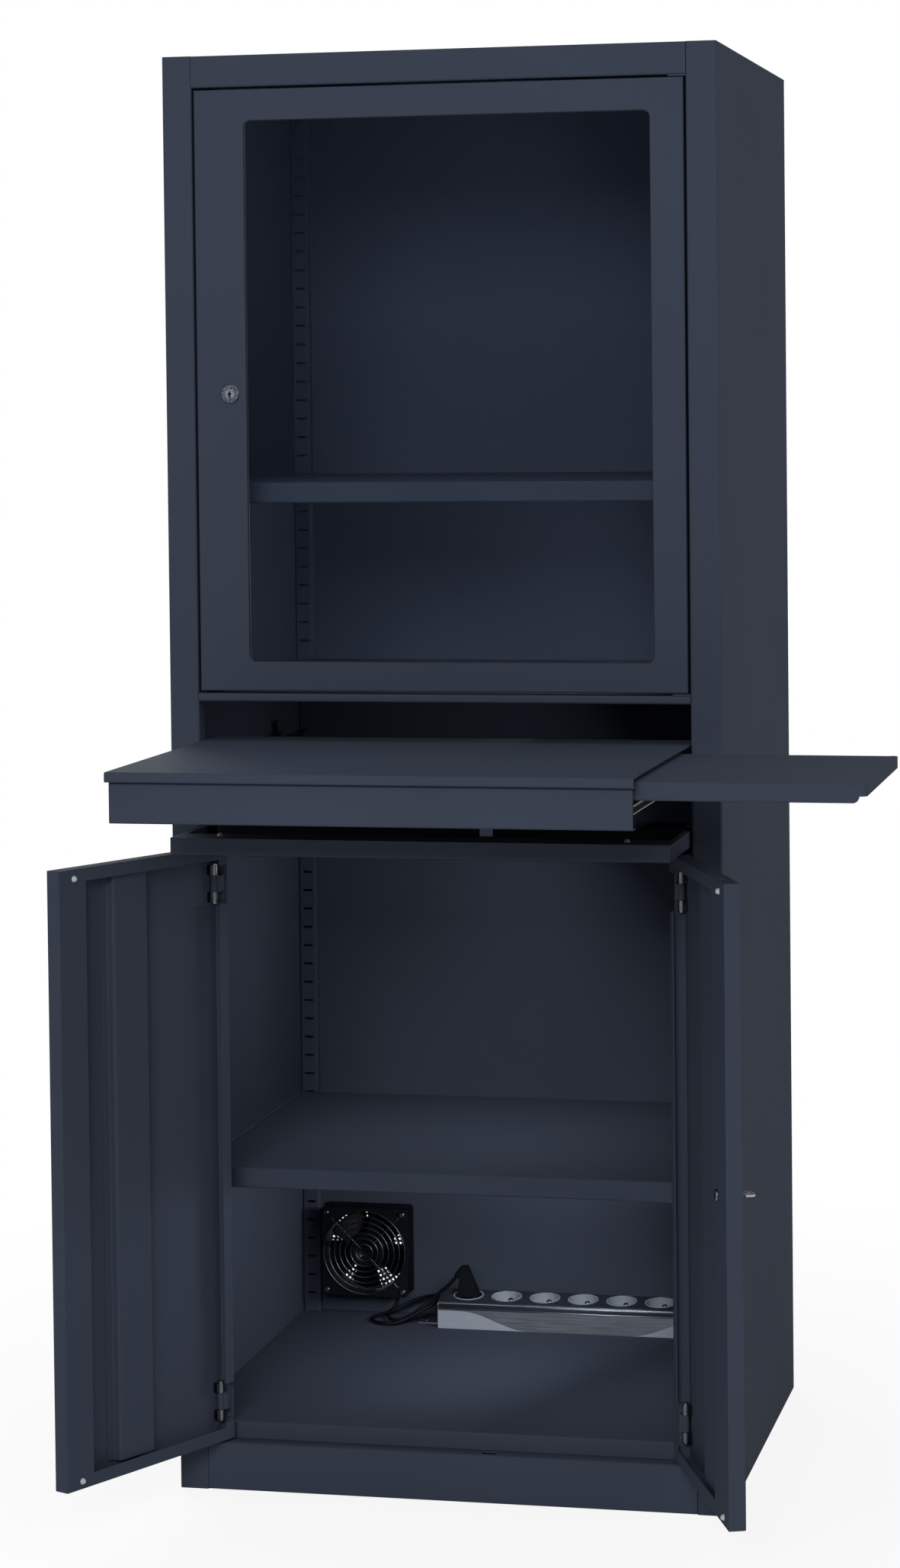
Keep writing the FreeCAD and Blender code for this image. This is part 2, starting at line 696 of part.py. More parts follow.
def upper_door_panel():
    lips = [UPPER_DOOR_LIP] * 4
    panel = pan(-DOOR_EDGE, DOOR_EDGE, UPPER_DOOR_BOTTOM, UPPER_DOOR_TOP, *lips)
    pane_hole = window_slab(0, FRONT - SHEET, FRONT + 2 * SHEET)
    lock_hole = rod(LOCK_BARREL_RADIUS + LOCK_FIT, UPPER_LOCK - V(0, SHEET, 0), UPPER_LOCK + V(0, 2 * SHEET, 0))
    foot = V(UPPER_PIVOT.x, UPPER_PIVOT.y, UPPER_DOOR_BOTTOM - SHEET)
    head = V(UPPER_PIVOT.x, UPPER_PIVOT.y, UPPER_DOOR_TOP + SHEET)
    pin_hole = rod(PIVOT_PIN_RADIUS + RUNNING_CLEARANCE, foot, head)
    return cut(panel, [pane_hole, lock_hole, pin_hole])


def window_seal():
    y0 = FRONT + SHEET
    y1 = y0 + SEAL_THICKNESS
    return window_slab(PANE_OVERLAP, y0, y1).cut(window_slab(-SEAL_SHOWS, y0, y1))


def window_pane():
    y0 = FRONT + SHEET + SEAL_THICKNESS
    return window_slab(PANE_OVERLAP, y0, y0 + PANE_THICKNESS)


def window_retainer():
    y0 = FRONT + SHEET + SEAL_THICKNESS + PANE_THICKNESS
    y1 = y0 + RETAINER_THICKNESS
    return window_slab(PANE_OVERLAP, y0, y1).cut(window_slab(0, y0, y1))


# Pivot plates lie in the gaps above and below the door, each with a pin
def upper_door_pivots():
    x0 = UPPER_PIVOT.x - PIVOT_PLATE_REACH
    y0 = UPPER_PIVOT.y - PIVOT_PLATE_REACH
    y1 = UPPER_PIVOT.y + PIVOT_PLATE_REACH
    pieces = []
    for seat, up in ((MID_Z, 1), (HEIGHT - TOP_BAND, -1)):
        plate_end = seat + up * PIVOT_PLATE
        plate = box(x0, OPENING, y0, y1, min(seat, plate_end), max(seat, plate_end))
        base = V(UPPER_PIVOT.x, UPPER_PIVOT.y, seat)
        pieces.append(fused([plate, rod(PIVOT_PIN_RADIUS, base, base + V(0, 0, up * PIVOT_PIN_LENGTH))]))
    return pieces


# Lock barrel with rosette and nut, bored for its plug
def lock_barrel(lock, length):
    behind_skin = lock + V(0, SHEET, 0)
    end = lock + V(0, length, 0)
    rosette = rod(LOCK_ROSETTE_RADIUS, lock - V(0, LOCK_ROSETTE_PROUD, 0), lock)
    rim = [edge for edge in rosette.Edges if edge.BoundBox.YMax < lock.y - LOCK_ROSETTE_PROUD / 2]
    rosette = rosette.makeChamfer(LOCK_ROSETTE_PROUD / 2, [edge for edge in rim if edge.Closed])
    barrel = rod(LOCK_BARREL_RADIUS, lock, end)
    nut = rod(LOCK_NUT_RADIUS, behind_skin, behind_skin + V(0, LOCK_NUT_HEIGHT, 0))
    bore = rod(PLUG_RADIUS + RUNNING_CLEARANCE, lock - V(0, 2 * LOCK_ROSETTE_PROUD, 0), end + V(0, SHEET, 0))
    return fused([rosette, barrel, nut]).cut(bore)


def lock_plug(lock, length):
    front = lock - V(0, LOCK_ROSETTE_PROUD + PLUG_PROUD, 0)
    return rod(PLUG_RADIUS, front, lock + V(0, length, 0))


def keyway(lock, width, height):
    front = lock.y - LOCK_ROSETTE_PROUD - PLUG_PROUD
    x = lock.x
    z = lock.z
    return box(x - width / 2, x + width / 2, front, front + KEYWAY_DEPTH, z - height / 2, z + height / 2)


UPPER_BARREL_LENGTH = REBATE_DEPTH + SHEET + CAM_CLEARANCE - LOCK_END_GAP


def upper_lock_plug():
    plug = lock_plug(UPPER_LOCK, UPPER_BARREL_LENGTH + LOCK_END_GAP)
    return plug.cut(keyway(UPPER_LOCK, KEYWAY_WIDTH, KEYWAY_LENGTH))


# The cam hangs down when the lock is open and turns behind the post's stop
def upper_lock_cam():
    y0 = UPPER_LOCK.y + UPPER_BARREL_LENGTH + LOCK_END_GAP
    y1 = y0 + CAM_THICKNESS
    half = CAM_WIDTH / 2
    arm = box(UPPER_LOCK.x - half, UPPER_LOCK.x + half, y0, y1, UPPER_LOCK.z - CAM_REACH + half, UPPER_LOCK.z)
    ends = [
        rod(half, V(UPPER_LOCK.x, y0, z), V(UPPER_LOCK.x, y1, z))
        for z in (UPPER_LOCK.z, UPPER_LOCK.z - CAM_REACH + half)
    ]
    return fused([arm] + ends)


# Lower doors, drawn closed on the right and then mirrored or turned open
def lower_door_panel(free_lip):
    panel = pan(DOOR_GAP / 2, DOOR_EDGE, DOOR_BOTTOM, DOOR_TOP, free_lip, DOOR_LIP, DOOR_LIP, DOOR_LIP)
    notches = []
    for z in HINGE_HEIGHTS:
        half = FIXED_KNUCKLE_HEIGHT / 2 + KNUCKLE_GAP + DOOR_KNUCKLE_HEIGHT + NOTCH_CLEARANCE
        x0 = DOOR_EDGE - DOOR_LIP - SHEET
        notches.append(box(x0, DOOR_EDGE + SHEET, FRONT + EDGE_RADIUS, DOOR_BACK + SHEET, z - half, z + half))
    return cut(panel, notches)


def door_stiffener():
    y0 = FRONT + SHEET
    y1 = y0 + STIFFENER_DEPTH
    x0 = DOOR_GAP / 2 + STIFFENER_FROM_EDGE - STIFFENER_WIDTH / 2
    x1 = x0 + STIFFENER_WIDTH
    path = [
        (x1 + STIFFENER_FLANGE, y0 + SHEET),
        (x1, y0 + SHEET),
        (x1, y1),
        (x0, y1),
        (x0, y0 + SHEET),
        (x0 - STIFFENER_FLANGE, y0 + SHEET),
    ]
    return sheet_along_z(path, DOOR_BOTTOM + DOOR_LIP, DOOR_TOP - DOOR_LIP)


def door_bumpers():
    length = STOP_Y - DOOR_BACK - BUMPER_CLEARANCE
    x = DOOR_GAP / 2 + BUMPER_FROM_FREE_EDGE
    heights = (DOOR_BOTTOM + BUMPER_FROM_END, DOOR_TOP - DIVIDER_DROP - BUMPER_FROM_END)
    return [rod(BUMPER_RADIUS, V(x, DOOR_BACK, z), V(x, DOOR_BACK + length, z)) for z in heights]


# Fixed hinge leaf: a plate on the door stop, an arm into the door and a knuckle round the pin
def hinge_leaves():
    pieces = []
    for z in HINGE_HEIGHTS:
        half = FIXED_KNUCKLE_HEIGHT / 2
        plate_half = half + KNUCKLE_GAP + DOOR_KNUCKLE_HEIGHT
        plate_front = STOP_Y - LEAF_THICKNESS
        x0 = HINGE_X - LEAF_LEFT
        x1 = HINGE_X + LEAF_RIGHT
        plate = box(x0, x1, plate_front, STOP_Y, z - plate_half, z + plate_half)
        arm = box(HINGE_X - 2 * KNUCKLE_RADIUS, HINGE_X, HINGE_Y, plate_front, z - half, z + half)
        knuckle = rod(KNUCKLE_RADIUS, V(HINGE_X, HINGE_Y, z - half), V(HINGE_X, HINGE_Y, z + half))
        bore = hinge_rod(HINGE_PIN_RADIUS + SEAT_CLEARANCE, z)
        pieces.append(fused([plate, arm, knuckle]).cut(bore))
    return pieces


def hinge_rod(radius, z):
    half = FIXED_KNUCKLE_HEIGHT / 2 + KNUCKLE_GAP + DOOR_KNUCKLE_HEIGHT + PIN_OVERHANG
    return rod(radius, V(HINGE_X, HINGE_Y, z - half), V(HINGE_X, HINGE_Y, z + half))


def hinge_pins():
    return [hinge_rod(HINGE_PIN_RADIUS, z) for z in HINGE_HEIGHTS]


# Door knuckles stand on the door's skin above and below each fixed knuckle
def door_knuckles():
    pieces = []
    for z in HINGE_HEIGHTS:
        for up in (-1, 1):
            near = z + up * (FIXED_KNUCKLE_HEIGHT / 2 + KNUCKLE_GAP)
            end = near + up * DOOR_KNUCKLE_HEIGHT
            z0 = min(near, end)
            z1 = max(near, end)
            barrel = rod(KNUCKLE_RADIUS, V(HINGE_X, HINGE_Y, z0), V(HINGE_X, HINGE_Y, z1))
            foot = box(HINGE_X - KNUCKLE_FOOT, HINGE_X + KNUCKLE_FOOT, FRONT + SHEET, HINGE_Y, z0, z1)
            pieces.append(fused([foot, barrel]).cut(hinge_rod(HINGE_PIN_RADIUS + RUNNING_CLEARANCE, z)))
    return pieces


def right_door_panel():
    panel = lower_door_panel(RIGHT_FREE_LIP)
    lock_hole = rod(LOCK_BARREL_RADIUS + LOCK_FIT, RIGHT_LOCK - V(0, SHEET, 0), RIGHT_LOCK + V(0, 2 * SHEET, 0))
    lip_hole_at = RIGHT_LOCK + V(-LIP_HOLE_IN, DOOR_DEPTH, LIP_HOLE_UP)
    lip_hole = rod(LIP_HOLE_RADIUS, lip_hole_at - V(0, 2 * SHEET, 0), lip_hole_at + V(0, SHEET, 0))
    return cut(panel, [lock_hole, lip_hole, rod_slot(DOOR_BOTTOM), rod_slot(DOOR_TOP)])


# Barrel of the key lock, with the cap that covers its screw on the door's inner lip
def right_lock_body():
    cap_base = RIGHT_LOCK + V(0, DOOR_DEPTH, 0)
    cap = rod(LOCK_CAP_RADIUS, cap_base, cap_base + V(0, LOCK_CAP_HEIGHT, 0))
    rim = [edge for edge in cap.Edges if edge.Closed and edge.BoundBox.YMin > cap_base.y + LOCK_CAP_HEIGHT / 2]
    return [lock_barrel(RIGHT_LOCK, RIGHT_BARREL_LENGTH), cap.makeChamfer(LOCK_CAP_HEIGHT / 2, rim)]


def right_lock_plug():
    plug = lock_plug(RIGHT_LOCK, RIGHT_BARREL_LENGTH + LOCK_END_GAP)
    return plug.cut(keyway(RIGHT_LOCK, KEYWAY_LENGTH, KEYWAY_WIDTH))


# Flat key: the bow lies level in front of the plug, with a ring hole
def right_lock_key():
    x = RIGHT_LOCK.x
    z0 = RIGHT_LOCK.z - KEY_THICKNESS / 2
    z1 = RIGHT_LOCK.z + KEY_THICKNESS / 2
    tip = RIGHT_LOCK.y - LOCK_ROSETTE_PROUD - PLUG_PROUD
    shank_end = tip - KEY_SHANK_LENGTH
    bow_end = shank_end - KEY_BOW_LENGTH
    shank = box(x - KEY_SHANK_WIDTH / 2, x + KEY_SHANK_WIDTH / 2, shank_end, tip, z0, z1)
    bow = box(x - KEY_BOW_WIDTH / 2, x + KEY_BOW_WIDTH / 2, bow_end, shank_end, z0, z1)
    corners = [edge for edge in bow.Edges if edge.BoundBox.ZLength > KEY_THICKNESS / 2]
    bow = bow.makeFillet(KEY_CORNER, corners)
    hole_y = bow_end + KEY_HOLE_FROM_END
    hole = rod(KEY_HOLE_RADIUS, V(x, hole_y, z0 - KEY_THICKNESS), V(x, hole_y, z1 + KEY_THICKNESS))
    return fused([shank, bow]).cut(hole)


CRANK_BACK = FRONT + RIGHT_BARREL_LENGTH + LOCK_END_GAP + CRANK_THICKNESS
UPPER_YOKE_FRONT = CRANK_BACK + YOKE_GAP
LOWER_YOKE_FRONT = UPPER_YOKE_FRONT + YOKE_THICKNESS + YOKE_GAP


# Crank on the plug's end, with one pin for each rod's yoke
def right_lock_crank():
    y0 = CRANK_BACK - CRANK_THICKNESS
    reach = CRANK_RADIUS + 2 * CRANK_PIN_RADIUS
    x = RIGHT_LOCK.x
    z = RIGHT_LOCK.z
    disc = rod(PLUG_RADIUS, V(x, y0, z), V(x, CRANK_BACK, z))
    half = PLUG_RADIUS / 2
    bar = box(x - reach, x + reach, y0, CRANK_BACK, z - half, z + half)
    pins = []
    for side, yoke in ((1, UPPER_YOKE_FRONT), (-1, LOWER_YOKE_FRONT)):
        pin_x = x + side * CRANK_RADIUS
        pins.append(rod(CRANK_PIN_RADIUS, V(pin_x, y0, z), V(pin_x, yoke + YOKE_THICKNESS, z)))
    return fused([disc, bar] + pins)


# Locking rod with its yoke, drawn back: up is 1 for the upper rod and -1 for the lower
def locking_rod(up, yoke_front, flange):
    x = RIGHT_LOCK.x
    z = RIGHT_LOCK.z
    slot_near = CRANK_PIN_RADIUS + YOKE_GAP
    slot_far = CRANK_RADIUS + slot_near
    xs = sorted((x - up * (slot_near + YOKE_BAR), x + up * (slot_far + YOKE_BAR)))
    zs = sorted((z - up * (YOKE_SLOT_HALF + YOKE_BAR), z + up * (ROD_START + 2 * ROD_RADIUS)))
    yoke = box(xs[0], xs[1], yoke_front, yoke_front + YOKE_THICKNESS, zs[0], zs[1])
    slot_xs = sorted((x - up * slot_near, x + up * slot_far))
    slot = box(
        slot_xs[0],
        slot_xs[1],
        yoke_front,
        yoke_front + YOKE_THICKNESS,
        z - YOKE_SLOT_HALF,
        z + YOKE_SLOT_HALF,
    )
    centre = FRONT + ROD_DEPTH
    start = V(x, centre, z + up * ROD_START)
    end = V(x, centre, flange - up * ROD_TIP_BELOW_FLANGE)
    shank = rod(ROD_RADIUS, start, end)
    return fused([yoke.cut(slot), shank])


# Flap, drawn closed and then turned down about its pivots
def flap_panel():
    panel = pan(
        -DOOR_EDGE,
        DOOR_EDGE,
        FLAP_BOTTOM,
        FLAP_TOP,
        FLAP_SIDE_LIP,
        FLAP_SIDE_LIP,
        FLAP_SIDE_LIP,
        FLAP_TOP_LIP,
    )
    reach = V(HALF, 0, 0)
    pin_hole = rod(FLAP_PIN_RADIUS + RUNNING_CLEARANCE, FLAP_PIVOT - reach, FLAP_PIVOT + reach)
    return cut(panel, [pin_hole, rod_slot(FLAP_BOTTOM)])


def flap_bumpers():
    z = FLAP_TOP - FLAP_BUMPER_DOWN
    length = STOP_Y - DOOR_BACK - BUMPER_CLEARANCE
    return [
        rod(BUMPER_RADIUS, V(x, DOOR_BACK, z), V(x, DOOR_BACK + length, z))
        for x in (-FLAP_BUMPER_OUT, FLAP_BUMPER_OUT)
    ]


# Bracket on the post with the flap's pivot pin and the peg that stops the flap level
def flap_brackets():
    outer = OPENING
    inner = OPENING - SHEET
    pin_tip = DOOR_EDGE - FLAP_SIDE_LIP + SHEET
    peg_y = FLAP_PIVOT.y + FLAP_PEG_BACK
    peg_z = FLAP_PIVOT.z + DOOR_DEPTH - FLAP_PIVOT_IN + FLAP_PIN_RADIUS + RUNNING_CLEARANCE
    plate_top = FLAP_PIVOT.z + BRACKET_HEIGHT
    plate_back = peg_y + BRACKET_EDGE
    plate = box(inner, outer, FLAP_PIVOT.y - BRACKET_EDGE, plate_back, FLAP_PIVOT.z - BRACKET_EDGE, plate_top)
    pin = rod(FLAP_PIN_RADIUS, V(pin_tip, FLAP_PIVOT.y, FLAP_PIVOT.z), V(inner, FLAP_PIVOT.y, FLAP_PIVOT.z))
    peg = rod(FLAP_PIN_RADIUS, V(pin_tip, peg_y, peg_z), V(inner, peg_y, peg_z))
    holes = [
        rod(BRACKET_HOLE_RADIUS, V(inner - SHEET, FLAP_PIVOT.y, z), V(outer + SHEET, FLAP_PIVOT.y, z))
        for z in (plate_top - down for down in BRACKET_HOLES_DOWN)
    ]
    return both_sides(cut(fused([plate, pin, peg]), holes))


# Drawer, drawn closed and then pulled out
def drawer_top():
    path = [
        (DRAWER_BACK, SLIDE_BOTTOM),
        (DRAWER_BACK, DRAWER_Z),
        (DRAWER_FRONT, DRAWER_Z),
        (DRAWER_FRONT, PANEL_TOP),
        (DRAWER_FRONT + NOSE_HEM, PANEL_TOP),
    ]
    top = sheet_along_x(path, -DRAWER_HALF, DRAWER_HALF)
    corner = box(
        RUNNER_X - SHEET,
        DRAWER_HALF + SHEET,
        DRAWER_BACK - 2 * SHEET,
        DRAWER_BACK + SHEET,
        SLIDE_BOTTOM - SHEET,
        TRAY_BOTTOM,
    )
    return cut(top, both_sides(corner))


def drawer_front():
    path = [
        (PANEL_FRONT + PANEL_HEM, PANEL_TOP),
        (PANEL_FRONT, PANEL_TOP),
        (PANEL_FRONT, PANEL_BOTTOM),
        (PANEL_FRONT + 2 * PANEL_HEM, PANEL_BOTTOM),
    ]
    half = DRAWER_HALF - PANEL_SIDE_INSET
    return sheet_along_x(path, -half, half)


# Runners carry the drawer on the slides: low on the right, where the tray passes, full height on the left
def drawer_runner(top):
    path = [
        (RUNNER_X - RUNNER_HEM, SLIDE_BOTTOM - RUNNER_DROP),
        (RUNNER_X, SLIDE_BOTTOM - RUNNER_DROP),
        (RUNNER_X, top),
    ]
    runner = sheet_along_y(path, PANEL_FRONT + SHEET, DRAWER_BACK - SHEET - BEND_RADIUS)
    notch_back = PANEL_FRONT + PANEL_HEM + RUNNER_NOTCH_GAP
    notch_low = PANEL_TOP - SHEET - BEND_RADIUS - RUNNER_NOTCH_GAP
    notch = box(RUNNER_X - 2 * SHEET, RUNNER_X + SHEET, PANEL_FRONT, notch_back, notch_low, DRAWER_Z)
    return runner.cut(notch)


def slide_section(step):
    x = SLIDE_X - step * SLIDE_STEP
    inset = step * (SLIDE_SHEET + SLIDE_GAP)
    z0 = SLIDE_BOTTOM + inset
    z1 = SLIDE_TOP - inset
    if step == 2:
        return [(x, z1), (x - SLIDE_LIP, z1), (x - SLIDE_LIP, z0), (x, z0)]
    return [(x - SLIDE_LIP, z0), (x, z0), (x, z1), (x - SLIDE_LIP, z1)]


# Members of the telescopic slides: 0 on the carcass, 1 between, 2 on the drawer
def slide_members(step):
    end = SLIDE_FRONT + SLIDE_LENGTH
    member = sheet_along_y(slide_section(step), SLIDE_FRONT, end, SLIDE_SHEET, SLIDE_BEND)
    return both_sides(member)


def slide_brackets():
    path = [
        (SLIDE_X, SLIDE_TOP),
        (SLIDE_X, SLIDE_BOTTOM),
        (INNER, SLIDE_BOTTOM),
        (INNER, SLIDE_TOP + SLIDE_BRACKET_RISE),
    ]
    starts = (SLIDE_FRONT + SHEET, SLIDE_FRONT + SLIDE_LENGTH - SLIDE_BRACKET_LENGTH - SHEET)
    pieces = []
    for y0 in starts:
        pieces += both_sides(sheet_along_y(path, y0, y0 + SLIDE_BRACKET_LENGTH))
    return pieces


# Guides hang from the drawer top and carry the tray's skirts
def tray_guides():
    x1 = RUNNER_X - SHEET - GUIDE_END_GAP
    x0 = x1 - GUIDE_LENGTH
    top = DRAWER_Z - SHEET
    shelf_top = TRAY_BOTTOM - GUIDE_UNDER_GAP
    pieces = []
    for skirt, inward in ((TRAY_FRONT, 1), (TRAY_BACK, -1)):
        web_near = skirt - inward * GUIDE_SIDE_GAP
        web_far = web_near - inward * GUIDE_SHEET
        tab_far = web_far - inward * GUIDE_TAB
        shelf_far = web_near + inward * GUIDE_SHELF
        shelf_low = shelf_top - GUIDE_SHEET
        web = box(x0, x1, min(web_near, web_far), max(web_near, web_far), shelf_low, top)
        ledge = box(x0, x1, min(web_far, shelf_far), max(web_far, shelf_far), shelf_low, shelf_top)
        tab = box(x0, x1, min(web_near, tab_far), max(web_near, tab_far), top - GUIDE_SHEET, top)
        pieces.append(fused([web, ledge, tab]))
    return pieces


# Blank of the tray between two heights, inset all round, with rounded corners at its outer end
def tray_blank(inset, z0, z1):
    x1 = DRAWER_HALF - inset
    blank = box(DRAWER_HALF - TRAY_LENGTH, x1, TRAY_FRONT + inset, TRAY_BACK - inset, z0, z1)
    upright = [edge for edge in blank.Edges if edge.BoundBox.XMin > x1 - SHEET and edge.BoundBox.ZLength > SHEET]
    return blank.makeFillet(TRAY_CORNER - inset, upright)


# Side tray: a plate with hemmed skirts along both sides and a lower skirt round its outer end
def mouse_tray():
    x1 = DRAWER_HALF
    x0 = x1 - TRAY_LENGTH
    path = [
        (TRAY_BACK - TRAY_HEM, TRAY_BOTTOM),
        (TRAY_BACK, TRAY_BOTTOM),
        (TRAY_BACK, TRAY_Z),
        (TRAY_FRONT, TRAY_Z),
        (TRAY_FRONT, TRAY_BOTTOM),
        (TRAY_FRONT + TRAY_HEM, TRAY_BOTTOM),
    ]
    skirt_end = x1 - TRAY_CORNER
    sides = sheet_along_x(path, x0, skirt_end)
    low = TRAY_Z - TRAY_END_SKIRT
    rim = tray_blank(0, low, TRAY_Z).cut(tray_blank(SHEET, low - SHEET, TRAY_Z - SHEET))
    end = rim.common(box(skirt_end, x1, TRAY_FRONT, TRAY_BACK, low, TRAY_Z))
    corner = box(skirt_end - TRAY_CORNER, skirt_end, TRAY_FRONT, TRAY_BACK, TRAY_BOTTOM, TRAY_BOTTOM + TRAY_CORNER)
    axis_z = TRAY_BOTTOM + TRAY_CORNER
    axis_x = skirt_end - TRAY_CORNER
    round_off = rod(TRAY_CORNER, V(axis_x, TRAY_FRONT - SHEET, axis_z), V(axis_x, TRAY_BACK + SHEET, axis_z))
    return fused([sides.cut(corner.cut(round_off)), end])


# Fan
def fan_rod(radius, x, z, y0, y1):
    return rod(radius, V(FAN_X + x, y0, FAN_Z + z), V(FAN_X + x, y1, FAN_Z + z))


def fan_corners():
    half = FAN_SIZE / 2 - FAN_HOLE_INSET
    return [(x, z) for x in (-half, half) for z in (-half, half)]


def fan_plate(y0, y1):
    half = FAN_SIZE / 2
    return rounded_slab(FAN_X - half, FAN_X + half, y0, y1, FAN_Z - half, FAN_Z + half, FAN_CORNER)


LEAD_START = V(FAN_X + LEAD_START_RIGHT, BACK_FACE - LEAD_START_FROM_BACK, FAN_Z - FAN_SIZE / 2 - GLAND_LENGTH)


def lead_gland():
    return rod(GLAND_RADIUS, LEAD_START, LEAD_START + V(0, 0, GLAND_LENGTH + FAN_FLANGE))


# Housing: two square flanges on a round barrel, with the motor held on struts at the back
def fan_housing():
    motor_front = BACK_FACE - MOTOR_THICKNESS
    shell = fused([
        fan_plate(FAN_FRONT, FAN_FRONT + FAN_FLANGE),
        fan_rod(FAN_BARREL_RADIUS, 0, 0, FAN_FRONT, BACK_FACE),
        fan_plate(BACK_FACE - FAN_FLANGE, BACK_FACE),
    ])
    holes = [fan_rod(FAN_DUCT_RADIUS, 0, 0, FAN_FRONT, BACK_FACE)]
    holes += [fan_rod(FAN_SCREW_HOLE, x, z, FAN_FRONT, BACK_FACE) for x, z in fan_corners()]
    shell = cut(shell, holes)
    struts = []
    for index in range(STRUT_COUNT):
        strut = box(
            FAN_X,
            FAN_X + (FAN_DUCT_RADIUS + FAN_BARREL_RADIUS) / 2,
            BACK_FACE - STRUT_DEPTH,
            BACK_FACE,
            FAN_Z - STRUT_WIDTH / 2,
            FAN_Z + STRUT_WIDTH / 2,
        )
        struts.append(turned(strut, V(FAN_X, 0, FAN_Z), V(0, 1, 0), index * 360 / STRUT_COUNT))
    motor = fan_rod(MOTOR_RADIUS, 0, 0, motor_front, BACK_FACE)
    block = box(
        LEAD_START.x - GLAND_RADIUS,
        LEAD_START.x + GLAND_RADIUS,
        FAN_FRONT + FAN_FLANGE / 2,
        BACK_FACE - FAN_FLANGE / 2,
        LEAD_START.z + GLAND_LENGTH,
        LEAD_START.z + GLAND_LENGTH + FAN_FLANGE,
    )
    shaft_bore = fan_rod(ROTOR_SHAFT_RADIUS + RUNNING_CLEARANCE, 0, 0, FAN_FRONT, BACK_FACE - SHEET)
    return cut(fused([shell, motor, lead_gland(), block] + struts), [shaft_bore])


# Chord section of a blade at a radius, turned to its pitch, as a closed outline
def blade_section(radius, chord, pitch, middle_y):
    corners = [(-1, -1), (1, -1), (1, 1), (-1, 1)]
    angle = math.radians(pitch)
    points = []
    for along, across in corners:
        u = along * chord / 2
        v = across * BLADE_THICKNESS / 2
        x = u * math.cos(angle) - v * math.sin(angle)
        y = u * math.sin(angle) + v * math.cos(angle)
        points.append(V(FAN_X + x, middle_y + y, FAN_Z + radius))
    return Part.makePolygon(points + points[:1])


def fan_rotor():
    hub_back = BACK_FACE - MOTOR_THICKNESS - ROTOR_GAP
    hub_front = hub_back - ROTOR_HUB_DEPTH
    hub = fan_rod(ROTOR_HUB_RADIUS, 0, 0, hub_front, hub_back)
    rim = [edge for edge in hub.Edges if edge.Closed and edge.BoundBox.YMax < hub_front + SHEET]
    hub = hub.makeChamfer(SHEET, rim)
    shaft = fan_rod(ROTOR_SHAFT_RADIUS, 0, 0, hub_back, hub_back + ROTOR_SHAFT_LENGTH)
    middle = (hub_front + hub_back) / 2
    root = blade_section(ROTOR_HUB_RADIUS - BLADE_ROOT_SINK, BLADE_ROOT_CHORD, BLADE_ROOT_PITCH, middle)
    tip = blade_section(BLADE_TIP_RADIUS, BLADE_TIP_CHORD, BLADE_TIP_PITCH, middle)
    blade = Part.makeLoft([root, tip], True, True)
    reach = fan_rod(BLADE_TIP_RADIUS, 0, 0, FAN_FRONT, BACK_FACE)
    blade = blade.common(reach)
    blades = [
        turned(blade, V(FAN_X, 0, FAN_Z), V(0, 1, 0), index * 360 / BLADE_COUNT)
        for index in range(BLADE_COUNT)
    ]
    return fused([hub, shaft] + blades)


# Ring of the guard, with short flats
def guard_ring(radius, y):
    centre = V(FAN_X, y - GUARD_WIRE_RADIUS, FAN_Z)
    outlines = [
        regular_outline(centre, radius + side * GUARD_WIRE_RADIUS, V(1, 0, 0), V(0, 0, 1), GUARD_FLATS_COUNT)
        for side in (1, -1)
    ]
    ring = Part.Face(outlines)
    ring.validate()
    return ring.extrude(V(0, 2 * GUARD_WIRE_RADIUS, 0))


# Wire guard: rings on four spokes that end in eyes under the corner screws
def fan_guard():
    y = FAN_FRONT - GUARD_EYE_THICKNESS / 2
    half = GUARD_WIRE_RADIUS
    wires = []
    for index in range(GUARD_RING_COUNT):
        ring = GUARD_FIRST_RING + index * GUARD_RING_STEP
        wires.append(guard_ring(ring, y - GUARD_RING_LIFT))
    for x, z in fan_corners():
        reach = math.hypot(x, z)
        spoke = box(FAN_X + GUARD_SPOKE_START, FAN_X + reach, y - half, y + half, FAN_Z - half, FAN_Z + half)
        wires.append(turned(spoke, V(FAN_X, y, FAN_Z), V(0, 1, 0), -math.degrees(math.atan2(z, x))))
        wires.append(fan_rod(GUARD_EYE_RADIUS, x, z, FAN_FRONT - GUARD_EYE_THICKNESS, FAN_FRONT))
    holes = [fan_rod(FAN_SCREW_HOLE, x, z, FAN_FRONT - FAN_DEPTH, BACK_FACE) for x, z in fan_corners()]
    return cut(fused(wires), holes)


def fan_screws():
    seat = FAN_FRONT - GUARD_EYE_THICKNESS
    pieces = []
    for x, z in fan_corners():
        head = fan_rod(FAN_SCREW_HEAD, x, z, seat - FAN_HEAD_HEIGHT, seat)
        rim = [edge for edge in head.Edges if edge.Closed and edge.BoundBox.YMax < seat - FAN_HEAD_HEIGHT / 2]
        shank = fan_rod(FAN_SCREW_RADIUS, x, z, seat, BACK)
        pieces.append(fused([head.makeChamfer(FAN_HEAD_HEIGHT / 2, rim), shank]))
    return pieces


